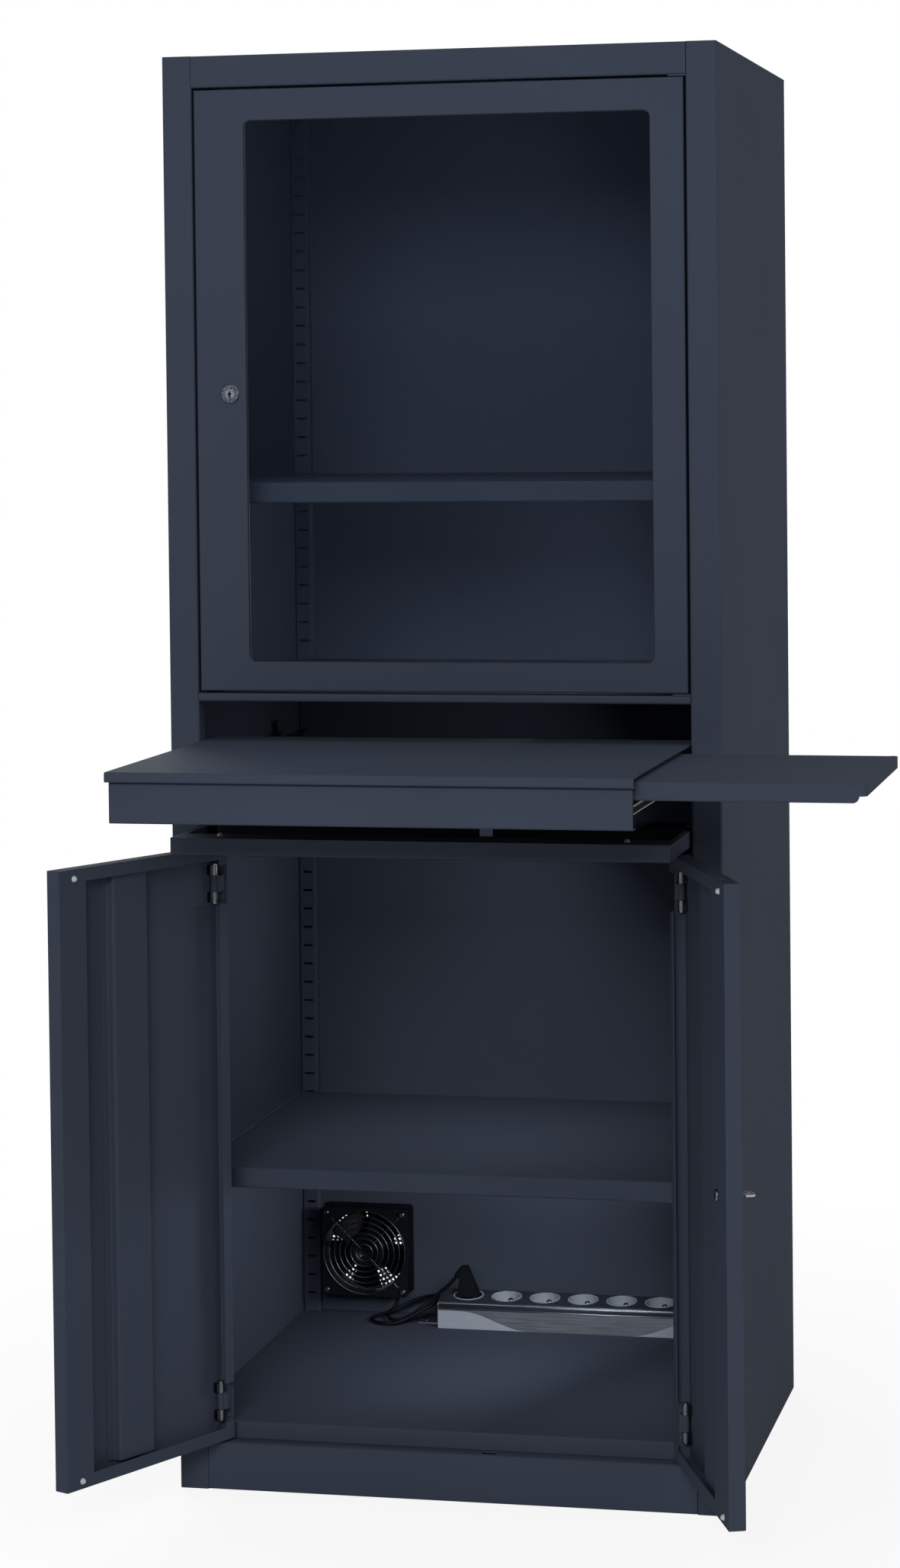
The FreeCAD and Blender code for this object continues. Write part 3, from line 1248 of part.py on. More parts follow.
# Socket strip on the floor at the back, with its top face tilted a little to the front
def strip_bar():
    front = STRIP_FRONT
    corners = [
        V(STRIP_LEFT, front, FLOOR_Z),
        V(STRIP_LEFT, STRIP_BACK, FLOOR_Z),
        V(STRIP_LEFT, STRIP_BACK, FLOOR_Z + STRIP_BACK_HEIGHT),
        V(STRIP_LEFT, front, FLOOR_Z + STRIP_FRONT_HEIGHT),
    ]
    face = Part.Face(Part.makePolygon(corners + corners[:1]))
    bar = face.extrude(V(STRIP_RIGHT - STRIP_LEFT, 0, 0))
    long_edges = [edge for edge in bar.Edges if edge.BoundBox.XLength > STRIP_DEPTH]
    bar = bar.makeFillet(STRIP_EDGE, [edge for edge in long_edges if edge.BoundBox.ZMin > FLOOR_Z + STRIP_EDGE])
    groove_z = FLOOR_Z + STRIP_GROOVE_UP
    groove = box(STRIP_LEFT, STRIP_RIGHT, front, front + STRIP_GROOVE, groove_z, groove_z + STRIP_GROOVE)
    return bar.cut(groove)


# End-cap region at the left end: level at first, then swept down to the floor along the strip
def cap_region():
    outline = [V(STRIP_LEFT - SHEET, 0, FLOOR_Z), V(STRIP_LEFT - SHEET, 0, FLOOR_Z + CAP_HEIGHT)]
    for index in range(CAP_FLATS_COUNT + 1):
        share = index / CAP_FLATS_COUNT
        x = STRIP_LEFT + CAP_TOP_LENGTH + share * (CAP_BOTTOM_LENGTH - CAP_TOP_LENGTH)
        outline.append(V(x, 0, FLOOR_Z + CAP_HEIGHT * (1 + math.cos(math.pi * share)) / 2))
    region = Part.Face(Part.makePolygon(outline + outline[:1])).extrude(V(0, STRIP_DEPTH + 2 * SHEET, 0))
    return shifted(region, y=STRIP_FRONT - SHEET)


def cap_regions():
    left = cap_region()
    middle = V((STRIP_LEFT + STRIP_RIGHT) / 2, 0, 0)
    return [left, left.mirror(middle, V(1, 0, 0))]


def socket_centres():
    y = (STRIP_FRONT + STRIP_BACK) / 2
    z = FLOOR_Z + (STRIP_FRONT_HEIGHT + STRIP_BACK_HEIGHT) / 2
    return [V(STRIP_LEFT + SOCKET_FIRST + index * SOCKET_PITCH, y, z) for index in range(SOCKET_COUNT)]


STRIP_NORMAL = V(0, -math.sin(math.radians(STRIP_TILT)), math.cos(math.radians(STRIP_TILT)))


def socket_rod(radius, centre, low, high):
    return rod(radius, centre + STRIP_NORMAL * low, centre + STRIP_NORMAL * high)


# Block along the strip's tilted top face, from low to high above it
def strip_block(x0, x1, width, low, high):
    middle = socket_centres()[0]
    block = box(x0, x1, -width / 2, width / 2, low, high)
    return shifted(turned(block, V(0, 0, 0), V(1, 0, 0), STRIP_TILT), y=middle.y, z=middle.z)


# Channel that holds the socket blocks and their cover
def strip_channel(width, low, high):
    end = SOCKET_FIRST - SOCKET_PITCH / 2
    return strip_block(STRIP_LEFT + end, STRIP_RIGHT - end, width, low, high)


def strip_body():
    channel = strip_channel(CHANNEL_WIDTH, SOCKET_PROUD - SOCKET_HEIGHT, STRIP_BACK_HEIGHT)
    return cut(strip_bar(), cap_regions() + [channel])


def strip_caps():
    channel = strip_channel(CHANNEL_WIDTH, SOCKET_PROUD - SOCKET_HEIGHT, STRIP_BACK_HEIGHT)
    return [strip_bar().common(region).cut(channel) for region in cap_regions()]


# Socket blocks: each with a collar, a round recess and two pin holes
def strip_sockets():
    floor = SOCKET_PROUD - SOCKET_RECESS_DEPTH
    turn = math.radians(SOCKET_PIN_TURN)
    slope = V(0, math.cos(math.radians(STRIP_TILT)), math.sin(math.radians(STRIP_TILT)))
    pin_side = (V(1, 0, 0) * math.cos(turn) + slope * math.sin(turn)) * (SOCKET_PIN_SPACING / 2)
    half = (SOCKET_PITCH - SOCKET_GAP) / 2
    width = CHANNEL_WIDTH - 2 * SOCKET_FIT
    pieces = []
    for centre in socket_centres():
        low = SOCKET_PROUD - SOCKET_HEIGHT
        block = strip_block(centre.x - half, centre.x + half, width, low, -COVER_THICKNESS)
        collar = socket_rod(SOCKET_RADIUS, centre, -2 * COVER_THICKNESS, SOCKET_PROUD)
        holes = [socket_rod(SOCKET_RECESS_RADIUS, centre, floor, SOCKET_PROUD)]
        for pin in (centre - pin_side, centre + pin_side):
            start = pin + STRIP_NORMAL * (floor - SOCKET_PIN_DEPTH)
            outline = regular_outline(start, SOCKET_PIN_RADIUS, V(1, 0, 0), slope, SOCKET_PIN_SIDES)
            holes.append(Part.Face(outline).extrude(STRIP_NORMAL * SOCKET_PIN_DEPTH))
        pieces.append(cut(fused([block, collar]), holes))
    return pieces


# Cover over the socket blocks, with a round hole for each collar
def strip_cover():
    cover = strip_channel(CHANNEL_WIDTH - 2 * SOCKET_FIT, -COVER_THICKNESS, 0)
    holes = [
        socket_rod(SOCKET_RADIUS + SOCKET_FIT, centre, -2 * COVER_THICKNESS, SOCKET_HEIGHT)
        for centre in socket_centres()
    ]
    return cut(cover, holes)


def strip_feet():
    y = (STRIP_FRONT + STRIP_BACK) / 2
    pieces = []
    for end, out in ((STRIP_LEFT, -1), (STRIP_RIGHT, 1)):
        tip = end + out * FOOT_LENGTH
        half = FOOT_WIDTH / 2
        plate = box(min(end, tip), max(end, tip), y - half, y + half, FLOOR_Z, FLOOR_Z + FOOT_THICKNESS)
        hole_x = tip - out * FOOT_WIDTH / 2
        hole = rod(FOOT_HOLE_RADIUS, V(hole_x, y, FLOOR_Z - SHEET), V(hole_x, y, FLOOR_Z + 2 * FOOT_THICKNESS))
        pieces.append(plate.cut(hole))
    return pieces


PLUG_SEAT = socket_centres()[0]
PLUG_APEX = PLUG_SEAT + STRIP_NORMAL * PLUG_BODY_HEIGHT + V(-PLUG_LEAN, 0, 0)
RELIEF_HEADING = V(math.sin(math.radians(RELIEF_SLANT)), 0, math.cos(math.radians(RELIEF_SLANT)))
LEAD_END = PLUG_APEX - RELIEF_HEADING * RELIEF_FROM_APEX


# Angled plug: a round base in the first socket and a flat wedge that narrows to the lead
def fan_plug():
    base_low = SOCKET_PROUD - SOCKET_RECESS_DEPTH
    base = socket_rod(PLUG_BASE_RADIUS, PLUG_SEAT, base_low, base_low + PLUG_BASE_HEIGHT)
    sections = []
    for centre, half, thickness in (
        (PLUG_SEAT + STRIP_NORMAL * (base_low + PLUG_BASE_HEIGHT), PLUG_BODY_HALF, PLUG_BODY_THICKNESS),
        (PLUG_APEX, PLUG_TOP_HALF, 2 * PLUG_TOP_HALF),
    ):
        across = V(0, math.cos(math.radians(STRIP_TILT)), math.sin(math.radians(STRIP_TILT)))
        corners = [
            centre + V(sx * half, 0, 0) + across * (sy * thickness / 2)
            for sx, sy in ((-1, -1), (1, -1), (1, 1), (-1, 1))
        ]
        sections.append(Part.makePolygon(corners + corners[:1]))
    wedge = Part.makeLoft(sections, True, True)
    relief = rod(RELIEF_RADIUS, LEAD_END, LEAD_END + RELIEF_HEADING * RELIEF_LENGTH)
    return fused([base, wedge, relief])


# Point of the lead beside the strip: from the strip's left end, the back panel and the floor
def lead_point(x, y, z):
    return V(STRIP_LEFT + x, BACK_FACE + y, FLOOR_Z + z)


# Route of the fan lead: a loop on the floor to the left, a raised loop to the right, back and up to the plug
LEAD_ROUTE = [
    LEAD_START,
    LEAD_START + V(-1.5, -1.5, -10.5),
    LEAD_START + V(-8, -6, -18.5),
    lead_point(-88, -28.5, 2.8),
    lead_point(-97, -41.5, 2.8),
    lead_point(-96.5, -57, 2.8),
    lead_point(-88, -70, 2.8),
    lead_point(-74, -77, 2.8),
    lead_point(-58.5, -76, 3.3),
    lead_point(-44, -71.5, 9),
    lead_point(-29.5, -67.5, 17),
    lead_point(-16, -61, 24),
    lead_point(-6.5, -48, 28.5),
    lead_point(-7, -32.5, 31),
    lead_point(-17.5, -21.5, 30.5),
    lead_point(-32.5, -18, 26.5),
    lead_point(-48.5, -19.5, 20.5),
    lead_point(-64, -24, 13.5),
    lead_point(-75.5, -35, 9),
    lead_point(-75, -50, 5.5),
    lead_point(-67.5, -61, 4.5),
    lead_point(-54.5, -64.5, 5.5),
    lead_point(-41, -61, 10.5),
    lead_point(-29, -53.5, 19),
    lead_point(-16.5, -47.5, 29),
    lead_point(-2.5, -48, 42),
    LEAD_END - RELIEF_HEADING * LEAD_END_RUN,
    LEAD_END,
]


# Tube along straight runs joined by tangent arcs
def tube(route, diameter):
    edges = []
    start = route[0]
    radii = []
    for index in range(1, len(route) - 1):
        corner = route[index]
        before = corner - route[index - 1]
        after = route[index + 1] - corner
        turn = before.getAngle(after)
        reach = LEAD_ARC_SHARE * min(before.Length, after.Length)
        radius = reach / math.tan(turn / 2)
        radii.append(radius)
        back = V(before).normalize()
        ahead = V(after).normalize()
        enter = corner - back * reach
        leave = corner + ahead * reach
        inward = (ahead - back).normalize()
        centre = corner + inward * (radius / math.cos(turn / 2))
        middle = centre + (corner - centre).normalize() * radius
        edges.append(Part.makeLine(start, enter))
        edges.append(Part.Arc(enter, middle, leave).toShape())
        start = leave
    edges.append(Part.makeLine(start, route[-1]))
    spine = Part.Wire(edges)
    heading = (route[1] - route[0]).normalize()
    across = heading.cross(V(0, 1, 0)).normalize()
    section = regular_outline(route[0], diameter / 2, across, heading.cross(across), LEAD_FLATS_COUNT)
    area = Part.Face(section).Area
    solid = spine.makePipeShell([section], True, False)
    expected = area * spine.Length
    print("lead radii", [round(radius, 1) for radius in radii])
    print("lead volume over section times length", round(solid.Volume / expected, 4))
    print("lead gap to itself", round(least_self_gap(spine, diameter), 2))
    return solid


# Least gap between stretches of the tube that are more than a half turn apart along it
def least_self_gap(spine, diameter):
    points = spine.discretize(Distance=diameter / 2)
    apart = int(8 * diameter / (diameter / 2))
    gaps = [
        (points[i] - points[j]).Length - diameter
        for i in range(len(points))
        for j in range(i + apart, len(points))
    ]
    return min(gaps)


# Poses in use
def opened_left(shape):
    return turned(mirrored(shape), V(-HINGE_X, HINGE_Y, 0), V(0, 0, 1), -LEFT_DOOR_ANGLE)


def opened_right(shape):
    return turned(shape, V(HINGE_X, HINGE_Y, 0), V(0, 0, 1), RIGHT_DOOR_ANGLE)


def flap_down(shape):
    return turned(shape, FLAP_PIVOT, V(1, 0, 0), 90)


def drawer_out(shape):
    return shifted(shape, y=-DRAWER_OUT)


def save(name, shapes, pose=None):
    solids = shapes if isinstance(shapes, list) else [shapes]
    if pose:
        solids = [pose(solid) for solid in solids]
    whole = solids[0] if len(solids) == 1 else Part.makeCompound(solids)
    if not whole.isValid():
        print("not valid:", name)
    count = len(whole.Solids)
    if count != len(solids):
        print("solids in", name, count, "expected", len(solids))
    whole.exportStep("parts/" + name + ".step")


def main():
    os.makedirs("parts", exist_ok=True)
    side = side_panel()
    save("side_panel_left", mirrored(side))
    save("side_panel_right", side)
    save("top_panel", top_panel())
    save("back_panel", back_panel())
    save("upper_floor", upper_floor())
    save("divider", divider())
    save("floor_panel", floor_panel())
    upper_span = (MID_Z, HEIGHT - SHEET)
    lower_span = (FLOOR_Z, DIVIDER_Z - SHEET)
    save("upper_uprights", uprights(*upper_span))
    save("lower_uprights", uprights(*lower_span))
    upper_clip = clip_top(*upper_span, UPPER_SHELF_SLOT_COUNT)
    lower_clip = clip_top(*lower_span, LOWER_SHELF_SLOT_COUNT)
    save("upper_shelf", shelf(upper_clip + SHELF_LIP))
    save("lower_shelf", shelf(lower_clip + SHELF_LIP))
    save("shelf_clips", shelf_clips(upper_clip) + shelf_clips(lower_clip))

    save("upper_door_panel", upper_door_panel())
    save("window_seal", window_seal())
    save("window_pane", window_pane())
    save("window_retainer", window_retainer())
    save("upper_door_pivots", upper_door_pivots())
    save("upper_lock_barrel", lock_barrel(UPPER_LOCK, UPPER_BARREL_LENGTH))
    save("upper_lock_plug", upper_lock_plug())
    save("upper_lock_cam", upper_lock_cam())

    save("left_door_panel", lower_door_panel(LEFT_FREE_LIP), opened_left)
    save("left_door_stiffener", door_stiffener(), opened_left)
    save("left_door_knuckles", door_knuckles(), opened_left)
    save("left_door_bumpers", door_bumpers(), opened_left)
    save("right_door_panel", right_door_panel(), opened_right)
    save("right_door_stiffener", door_stiffener(), opened_right)
    save("right_door_knuckles", door_knuckles(), opened_right)
    save("right_door_bumpers", door_bumpers(), opened_right)
    save("right_lock_body", right_lock_body(), opened_right)
    save("right_lock_plug", right_lock_plug(), opened_right)
    save("right_lock_key", right_lock_key(), opened_right)
    save("right_lock_crank", right_lock_crank(), opened_right)
    save("upper_locking_rod", locking_rod(1, UPPER_YOKE_FRONT, DOOR_TOP), opened_right)
    save("lower_locking_rod", locking_rod(-1, LOWER_YOKE_FRONT, DOOR_BOTTOM), opened_right)

    leaves = hinge_leaves()
    pins = hinge_pins()
    save("hinge_leaves", leaves + [mirrored(leaf) for leaf in leaves])
    save("hinge_pins", pins + [mirrored(pin) for pin in pins])

    save("flap_panel", flap_panel(), flap_down)
    save("flap_bumpers", flap_bumpers(), flap_down)
    save("flap_brackets", flap_brackets())

    save("drawer_top", drawer_top(), drawer_out)
    save("drawer_front", drawer_front(), drawer_out)
    save("drawer_runner_left", mirrored(drawer_runner(DRAWER_Z - SHEET)), drawer_out)
    save("drawer_runner_right", drawer_runner(SLIDE_TOP), drawer_out)
    save("slide_outer", slide_members(0))
    save("slide_middle", [shifted(member, y=-DRAWER_OUT / 2) for member in slide_members(1)])
    save("slide_inner", slide_members(2), drawer_out)
    save("slide_brackets", slide_brackets())
    save("tray_guides", tray_guides(), drawer_out)
    save("mouse_tray", shifted(mouse_tray(), x=TRAY_OUT), drawer_out)

    save("fan_housing", fan_housing())
    save("fan_rotor", fan_rotor())
    save("fan_guard", fan_guard())
    save("fan_screws", fan_screws())
    save("strip_body", strip_body())
    save("strip_caps", strip_caps())
    save("strip_sockets", strip_sockets())
    save("strip_cover", strip_cover())
    save("strip_feet", strip_feet())
    save("fan_plug", fan_plug())
    save("fan_lead", tube(LEAD_ROUTE, LEAD_DIAMETER).cut(lead_gland()))


main()
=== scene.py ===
import json
import math

import bmesh
import bpy
from mathutils import Matrix, Vector


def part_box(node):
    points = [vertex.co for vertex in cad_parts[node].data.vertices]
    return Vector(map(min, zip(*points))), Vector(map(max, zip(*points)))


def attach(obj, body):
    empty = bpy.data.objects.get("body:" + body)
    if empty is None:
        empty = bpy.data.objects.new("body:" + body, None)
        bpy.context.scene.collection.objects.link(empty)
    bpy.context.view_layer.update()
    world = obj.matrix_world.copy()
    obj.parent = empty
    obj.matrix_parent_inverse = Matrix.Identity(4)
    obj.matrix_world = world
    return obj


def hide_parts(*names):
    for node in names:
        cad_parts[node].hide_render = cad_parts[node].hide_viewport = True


# Steel computer cabinet in use, seen from the front a little to the right, in metres
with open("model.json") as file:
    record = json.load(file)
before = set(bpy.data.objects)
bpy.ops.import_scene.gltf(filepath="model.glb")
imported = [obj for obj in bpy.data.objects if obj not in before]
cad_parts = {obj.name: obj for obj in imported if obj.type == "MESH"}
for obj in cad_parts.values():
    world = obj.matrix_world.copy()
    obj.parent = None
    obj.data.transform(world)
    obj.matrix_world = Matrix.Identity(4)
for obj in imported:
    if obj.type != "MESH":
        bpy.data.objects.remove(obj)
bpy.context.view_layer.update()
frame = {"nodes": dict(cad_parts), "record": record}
nodes = frame["nodes"]

# Camera: the photograph's place, heading and lens, as fitted to the corners of the carcass
PHOTO_WIDTH = 1181
PHOTO_HEIGHT = 2057
FOCAL_PIXELS = 5026.2
CENTRE_PIXEL = (590.0, 705.0)
SENSOR_MM = 36.0
CAMERA_PLACE = Vector((1.0009, -4.7221, 1.3221))
CAMERA_YAW = math.radians(12.6)
CAMERA_PITCH = math.radians(-2.13)
CAMERA_ROLL = math.radians(0.62)

# Fan lead: diameter in metres, route in millimetres
MM = 0.001
LEAD_DIAMETER = 0.005
LEAD_STRIP_LEFT = -131.5
LEAD_BACK_FACE = 297.0
LEAD_FLOOR = 78.0
LEAD_START = Vector((-201.0, 283.0, 102.5))
LEAD_END = Vector((-110.75, 246.02, 142.75))
LEAD_HEADING = Vector((0.62524, 0.0, 0.78043))
LEAD_END_RUN = 16.4

# Fan and its guard, as in the CAD
FAN_X = -0.241
FAN_Z = 0.167
FAN_FRONT = 0.259
FAN_HOLE_HALF = 0.0525
GUARD_WIRE = 0.0008
GUARD_RING_LIFT = 1.2 * GUARD_WIRE
GUARD_RING_COUNT = 7
GUARD_RING_POINTS = 72
GUARD_FIRST_RING = 0.0114
GUARD_RING_STEP = 0.0075
GUARD_SPOKE_START = 0.005
GUARD_SPOKE_STEPS = 8
GUARD_EYE = 0.0034
GUARD_EYE_POINTS = 28
HUB_FRONT = 0.267
HUB_POINTS = 64
HUB_PROFILE = (
    (0.004, HUB_FRONT + 0.0012),
    (0.010, HUB_FRONT + 0.0010),
    (0.0105, HUB_FRONT),
    (0.0225, HUB_FRONT),
    (0.0240, HUB_FRONT + 0.0006),
    (0.0248, HUB_FRONT + 0.0018),
    (0.0250, HUB_FRONT + 0.0035),
    (0.0250, HUB_FRONT + 0.0200),
)
BLADE_COUNT = 5
BLADE_START = math.radians(37)
BLADE_MIDDLE = 0.277
BLADE_ROOT = 0.024
BLADE_TIP = 0.0533
BLADE_ROOT_CHORD = 0.038
BLADE_TIP_CHORD = 0.054
BLADE_ROOT_PITCH = 38.0
BLADE_TIP_PITCH = 25.0
BLADE_CAMBER = 0.05
BLADE_HALF = 0.0008
BLADE_EDGE_SHARE = 0.25
BLADE_SPANS = 10
BLADE_CHORDS = 12

# Earth pins in the free sockets of the strip
STRIP_TILT = math.atan2(6, 60)
SOCKET_COUNT = 7
SOCKET_PITCH = 0.052
SOCKET_FIRST = Vector((-0.0955, 0.250, 0.117))
PIN_OFF = 0.0071
PIN_PROFILE = (
    (0.0036, -0.0122),
    (0.0036, -0.0020),
    (0.0032, -0.0006),
    (0.0020, 0.0002),
    (0.0006, 0.0005),
)

# Trim of the strip's face, with a dark band of painted shade where the groove between its beads
# lies
TRIM_LEFT = -0.1305
TRIM_RIGHT = 0.2515
TRIM_FACE = 0.2200
TRIM_BEAD = 0.0009
TRIM_BEADS = (0.1045, 0.1105)
PAINTED_GROOVE_SHADE_BAND = (
    (0.2203, 0.1056),
    (0.2197, 0.1058),
    (0.2195, 0.1062),
    (0.2195, 0.1090),
    (0.2197, 0.1094),
    (0.2203, 0.1096),
)

# Keyhole of the upper lock, drawn as a dark inset that is painted shade for the hollow keyway
UPPER_LOCK = Vector((-0.255, -0.3026, 1.326))
KEYHOLE_ROUND = 0.0020
KEYHOLE_SLOT = 0.0046
KEYHOLE_OPEN = math.radians(28)
KEYHOLE_STEPS = 20
KEYHOLE_PROUD = 0.00015
KEYHOLE_SINK = 0.0008

# Bumpers of the doors and the flap
X_AXIS = 0
Z_AXIS = 2
BUMPER_HALF = 0.00235
BUMPER_IN = 0.005
BUMPER_PROFILE = (
    (0.0038, -0.0003),
    (0.0038, 0.0006),
    (0.0032, 0.0010),
    (0.0030, 0.0022),
    (0.0024, 0.0032),
    (0.0012, 0.0038),
    (0.0004, 0.0039),
)
LEFT_DOOR_ANGLE = math.radians(115)
RIGHT_DOOR_ANGLE = math.radians(111)

# Floor: half width and depth of the carcass on it, and where its white rises from near to far
FOOT_HALF = (0.335, 0.300)
FOOT_EDGE = 0.96
FLOOR_REACH = 30.0
FLOOR_NEAR = 0.55
FLOOR_FAR = 1.5
FLOOR_NEAR_WHITE = 0.88

# Studio: strength of the sky, and lamps by name, place, what they shine at, size and watts
SKY_STRENGTH = 0.3
STUDIO_LAMPS = (
    ("front", (0.3, -5.7, 2.8), (0, 0, 0.8), (2.4, 1.5), 172),
    ("right", (4.0, -0.5, 3.0), (0, 0, 0.9), (2.0, 2.5), 34),
    ("back", (-2.6, 4.2, 2.4), (0, 0, 0.9), (2.4, 2.4), 110),
    ("top", (0.2, -1.2, 3.6), (0, -0.5, 0.9), (2.2, 1.6), 7),
)

# Small lamps in the compartments: name, place, what they shine at and watts
LAMP_SIZE = (0.3, 0.06)
LEFT_WALL = -0.33
COMPARTMENT_LAMPS = (
    ("upper_top", (0.09, -0.02, 1.66), (LEFT_WALL, -0.02, 1.36), 0.3),
    ("upper_low", (0.2, -0.02, 1.16), (LEFT_WALL, -0.02, 0.95), 0.9),
    ("drawer_space", (0.09, -0.02, 0.93), (LEFT_WALL, -0.02, 0.63), 0.3),
    ("lower_top", (0.09, -0.02, 0.735), (LEFT_WALL, -0.02, 0.335), 1.0),
    ("lower_low", (0.09, -0.02, 0.325), (LEFT_WALL, 0.12, 0.27), 1.1),
    ("lower_right", (0.27, -0.08, 0.335), (LEFT_WALL, -0.08, 0.1), 0.45),
)


def make_camera():
    right = Vector((math.cos(CAMERA_YAW), math.sin(CAMERA_YAW), 0))
    ahead = Vector((
        -math.sin(CAMERA_YAW) * math.cos(CAMERA_PITCH),
        math.cos(CAMERA_YAW) * math.cos(CAMERA_PITCH),
        math.sin(CAMERA_PITCH),
    ))
    down = ahead.cross(right)
    rolled_right = right * math.cos(CAMERA_ROLL) + down * math.sin(CAMERA_ROLL)
    rolled_down = down * math.cos(CAMERA_ROLL) - right * math.sin(CAMERA_ROLL)
    data = bpy.data.cameras.new("camera")
    data.sensor_width = SENSOR_MM
    data.lens = FOCAL_PIXELS / PHOTO_HEIGHT * SENSOR_MM
    data.shift_x = (PHOTO_WIDTH / 2 - CENTRE_PIXEL[0]) / PHOTO_HEIGHT
    data.shift_y = (CENTRE_PIXEL[1] - PHOTO_HEIGHT / 2) / PHOTO_HEIGHT
    camera = bpy.data.objects.new("camera", data)
    turn = Matrix((rolled_right, -rolled_down, -ahead)).transposed()
    camera.matrix_world = Matrix.Translation(CAMERA_PLACE) @ turn.to_4x4()
    bpy.context.scene.collection.objects.link(camera)
    bpy.context.scene.camera = camera


# Colour sockets of the Mix node
MIX_FACTOR = 0
MIX_FIRST = 6
MIX_SECOND = 7
MIX_RESULT = 2

# Range in which most values of a noise lie, and the value at which a tint is at its palest
NOISE_LOW = 0.3
NOISE_HIGH = 0.7
TINT_HIGH = 0.75

# Cosines between a rounded normal and the face's own: where an edge begins, and where it is full
EDGE_BEGINS = 0.99
EDGE_FULL = 0.75


# Materials from nodes
class Shader:
    def __init__(self, name, colour, roughness, metallic=0.0):
        self.material = bpy.data.materials.new(name)
        self.material.use_nodes = True
        self.tree = self.material.node_tree
        self.surface = self.tree.nodes["Principled BSDF"]
        self.colour = (*colour, 1.0)
        self.surface.inputs["Base Color"].default_value = self.colour
        self.surface.inputs["Roughness"].default_value = roughness
        self.surface.inputs["Metallic"].default_value = metallic
        self.place = self.add("ShaderNodeTexCoord").outputs["Object"]

    def add(self, kind, **settings):
        made = self.tree.nodes.new(kind)
        for key, value in settings.items():
            setattr(made, key, value)
        return made

    def link(self, source, target):
        self.tree.links.new(source, target)

    def noise(self, scale, detail=3.0, roughness=0.6, stretch=(1, 1, 1)):
        mapping = self.add("ShaderNodeMapping")
        mapping.inputs["Scale"].default_value = stretch
        self.link(self.place, mapping.inputs["Vector"])
        texture = self.add("ShaderNodeTexNoise")
        texture.inputs["Scale"].default_value = scale
        texture.inputs["Detail"].default_value = detail
        texture.inputs["Roughness"].default_value = roughness
        self.link(mapping.outputs["Vector"], texture.inputs["Vector"])
        return texture.outputs["Fac"]

    # Value between low and high, mapped to the range from out_low to out_high
    def ramp(self, value, low, high, out_low=0.0, out_high=1.0):
        made = self.add("ShaderNodeMapRange")
        made.inputs["From Min"].default_value = low
        made.inputs["From Max"].default_value = high
        made.inputs["To Min"].default_value = out_low
        made.inputs["To Max"].default_value = out_high
        self.link(value, made.inputs["Value"])
        return made.outputs["Result"]

    def mix(self, factor, first, second):
        made = self.add("ShaderNodeMix", data_type="RGBA")
        for index, value in ((MIX_FIRST, first), (MIX_SECOND, second)):
            socket = made.inputs[index]
            if isinstance(value, tuple):
                socket.default_value = value
            else:
                self.link(value, socket)
        self.link(factor, made.inputs[MIX_FACTOR])
        return made.outputs[MIX_RESULT]

    def shade(self, share):
        return tuple(min(1.0, channel * share) for channel in self.colour[:3]) + (1.0,)

    # Own colour, from a darker to a paler shade of it as a noise rises
    def tint(self, value, dark, pale, low=NOISE_LOW, high=TINT_HIGH, most=1.0):
        return self.mix(self.ramp(value, low, high, 0.0, most), self.shade(dark), self.shade(pale))

    def set(self, name, source):
        self.link(source, self.surface.inputs[name])

    def vary_roughness(self, value, low, high):
        self.set("Roughness", self.ramp(value, NOISE_LOW, NOISE_HIGH, low, high))

    def bump(self, height, strength, distance, below=None):
        made = self.add("ShaderNodeBump")
        made.inputs["Strength"].default_value = strength
        made.inputs["Distance"].default_value = distance
        self.link(height, made.inputs["Height"])
        if below:
            self.link(below, made.inputs["Normal"])
        self.set("Normal", made.outputs["Normal"])

    def rounded_edges(self, radius):
        made = self.add("ShaderNodeBevel", samples=6)
        made.inputs["Radius"].default_value = radius
        return made.outputs["Normal"]

    # Share of edge at a point: how far the rounded normal leaves the face's own
    def edges(self, radius):
        geometry = self.add("ShaderNodeNewGeometry")
        product = self.add("ShaderNodeVectorMath", operation="DOT_PRODUCT")
        self.link(self.rounded_edges(radius), product.inputs[0])
        self.link(geometry.outputs["Normal"], product.inputs[1])
        return self.ramp(product.outputs["Value"], EDGE_BEGINS, EDGE_FULL)


def powder_coat():
    edge_radius = 0.0012
    coat = Shader("powder_coat", (0.0395, 0.049, 0.071), roughness=0.8)
    coat.surface.inputs["Specular IOR Level"].default_value = 0.02
    cloud = coat.noise(scale=2.2, detail=2.0)
    speck = coat.noise(scale=900.0, detail=2.0)
    tone = coat.tint(cloud, 0.94, 1.06, high=NOISE_HIGH)
    tone = coat.mix(coat.ramp(speck, 0.62, 0.8, 0.0, 0.35), tone, coat.shade(1.5))
    # Paler rounded edges where a noise allows: partly real worn paint, partly a painted highlight
    # along the edges
    wear_and_highlight = coat.ramp(coat.noise(scale=60.0, detail=4.0), 0.45, 0.7, 0.0, 0.5)
    worn_edge_and_highlight = coat.add("ShaderNodeMath", operation="MULTIPLY")
    coat.link(coat.edges(edge_radius), worn_edge_and_highlight.inputs[0])
    coat.link(wear_and_highlight, worn_edge_and_highlight.inputs[1])
    tone = coat.mix(worn_edge_and_highlight.outputs["Value"], tone, coat.shade(2.0))
    coat.set("Base Color", tone)
    coat.vary_roughness(speck, 0.74, 0.84)
    coat.bump(speck, strength=0.10, distance=0.0003, below=coat.rounded_edges(edge_radius))
    return coat.material


def zinc():
    plate = Shader("zinc", (0.26, 0.275, 0.30), roughness=0.36, metallic=1.0)
    blotch = plate.noise(scale=70.0, detail=4.0)
    brush = plate.noise(scale=400.0, detail=2.0, stretch=(1, 0.06, 1))
    plate.set("Base Color", plate.tint(blotch, 0.75, 1.05, low=0.35, high=NOISE_HIGH))
    plate.vary_roughness(brush, 0.26, 0.44)
    plate.bump(brush, strength=0.05, distance=0.0002, below=plate.rounded_edges(radius=0.0005))
    return plate.material


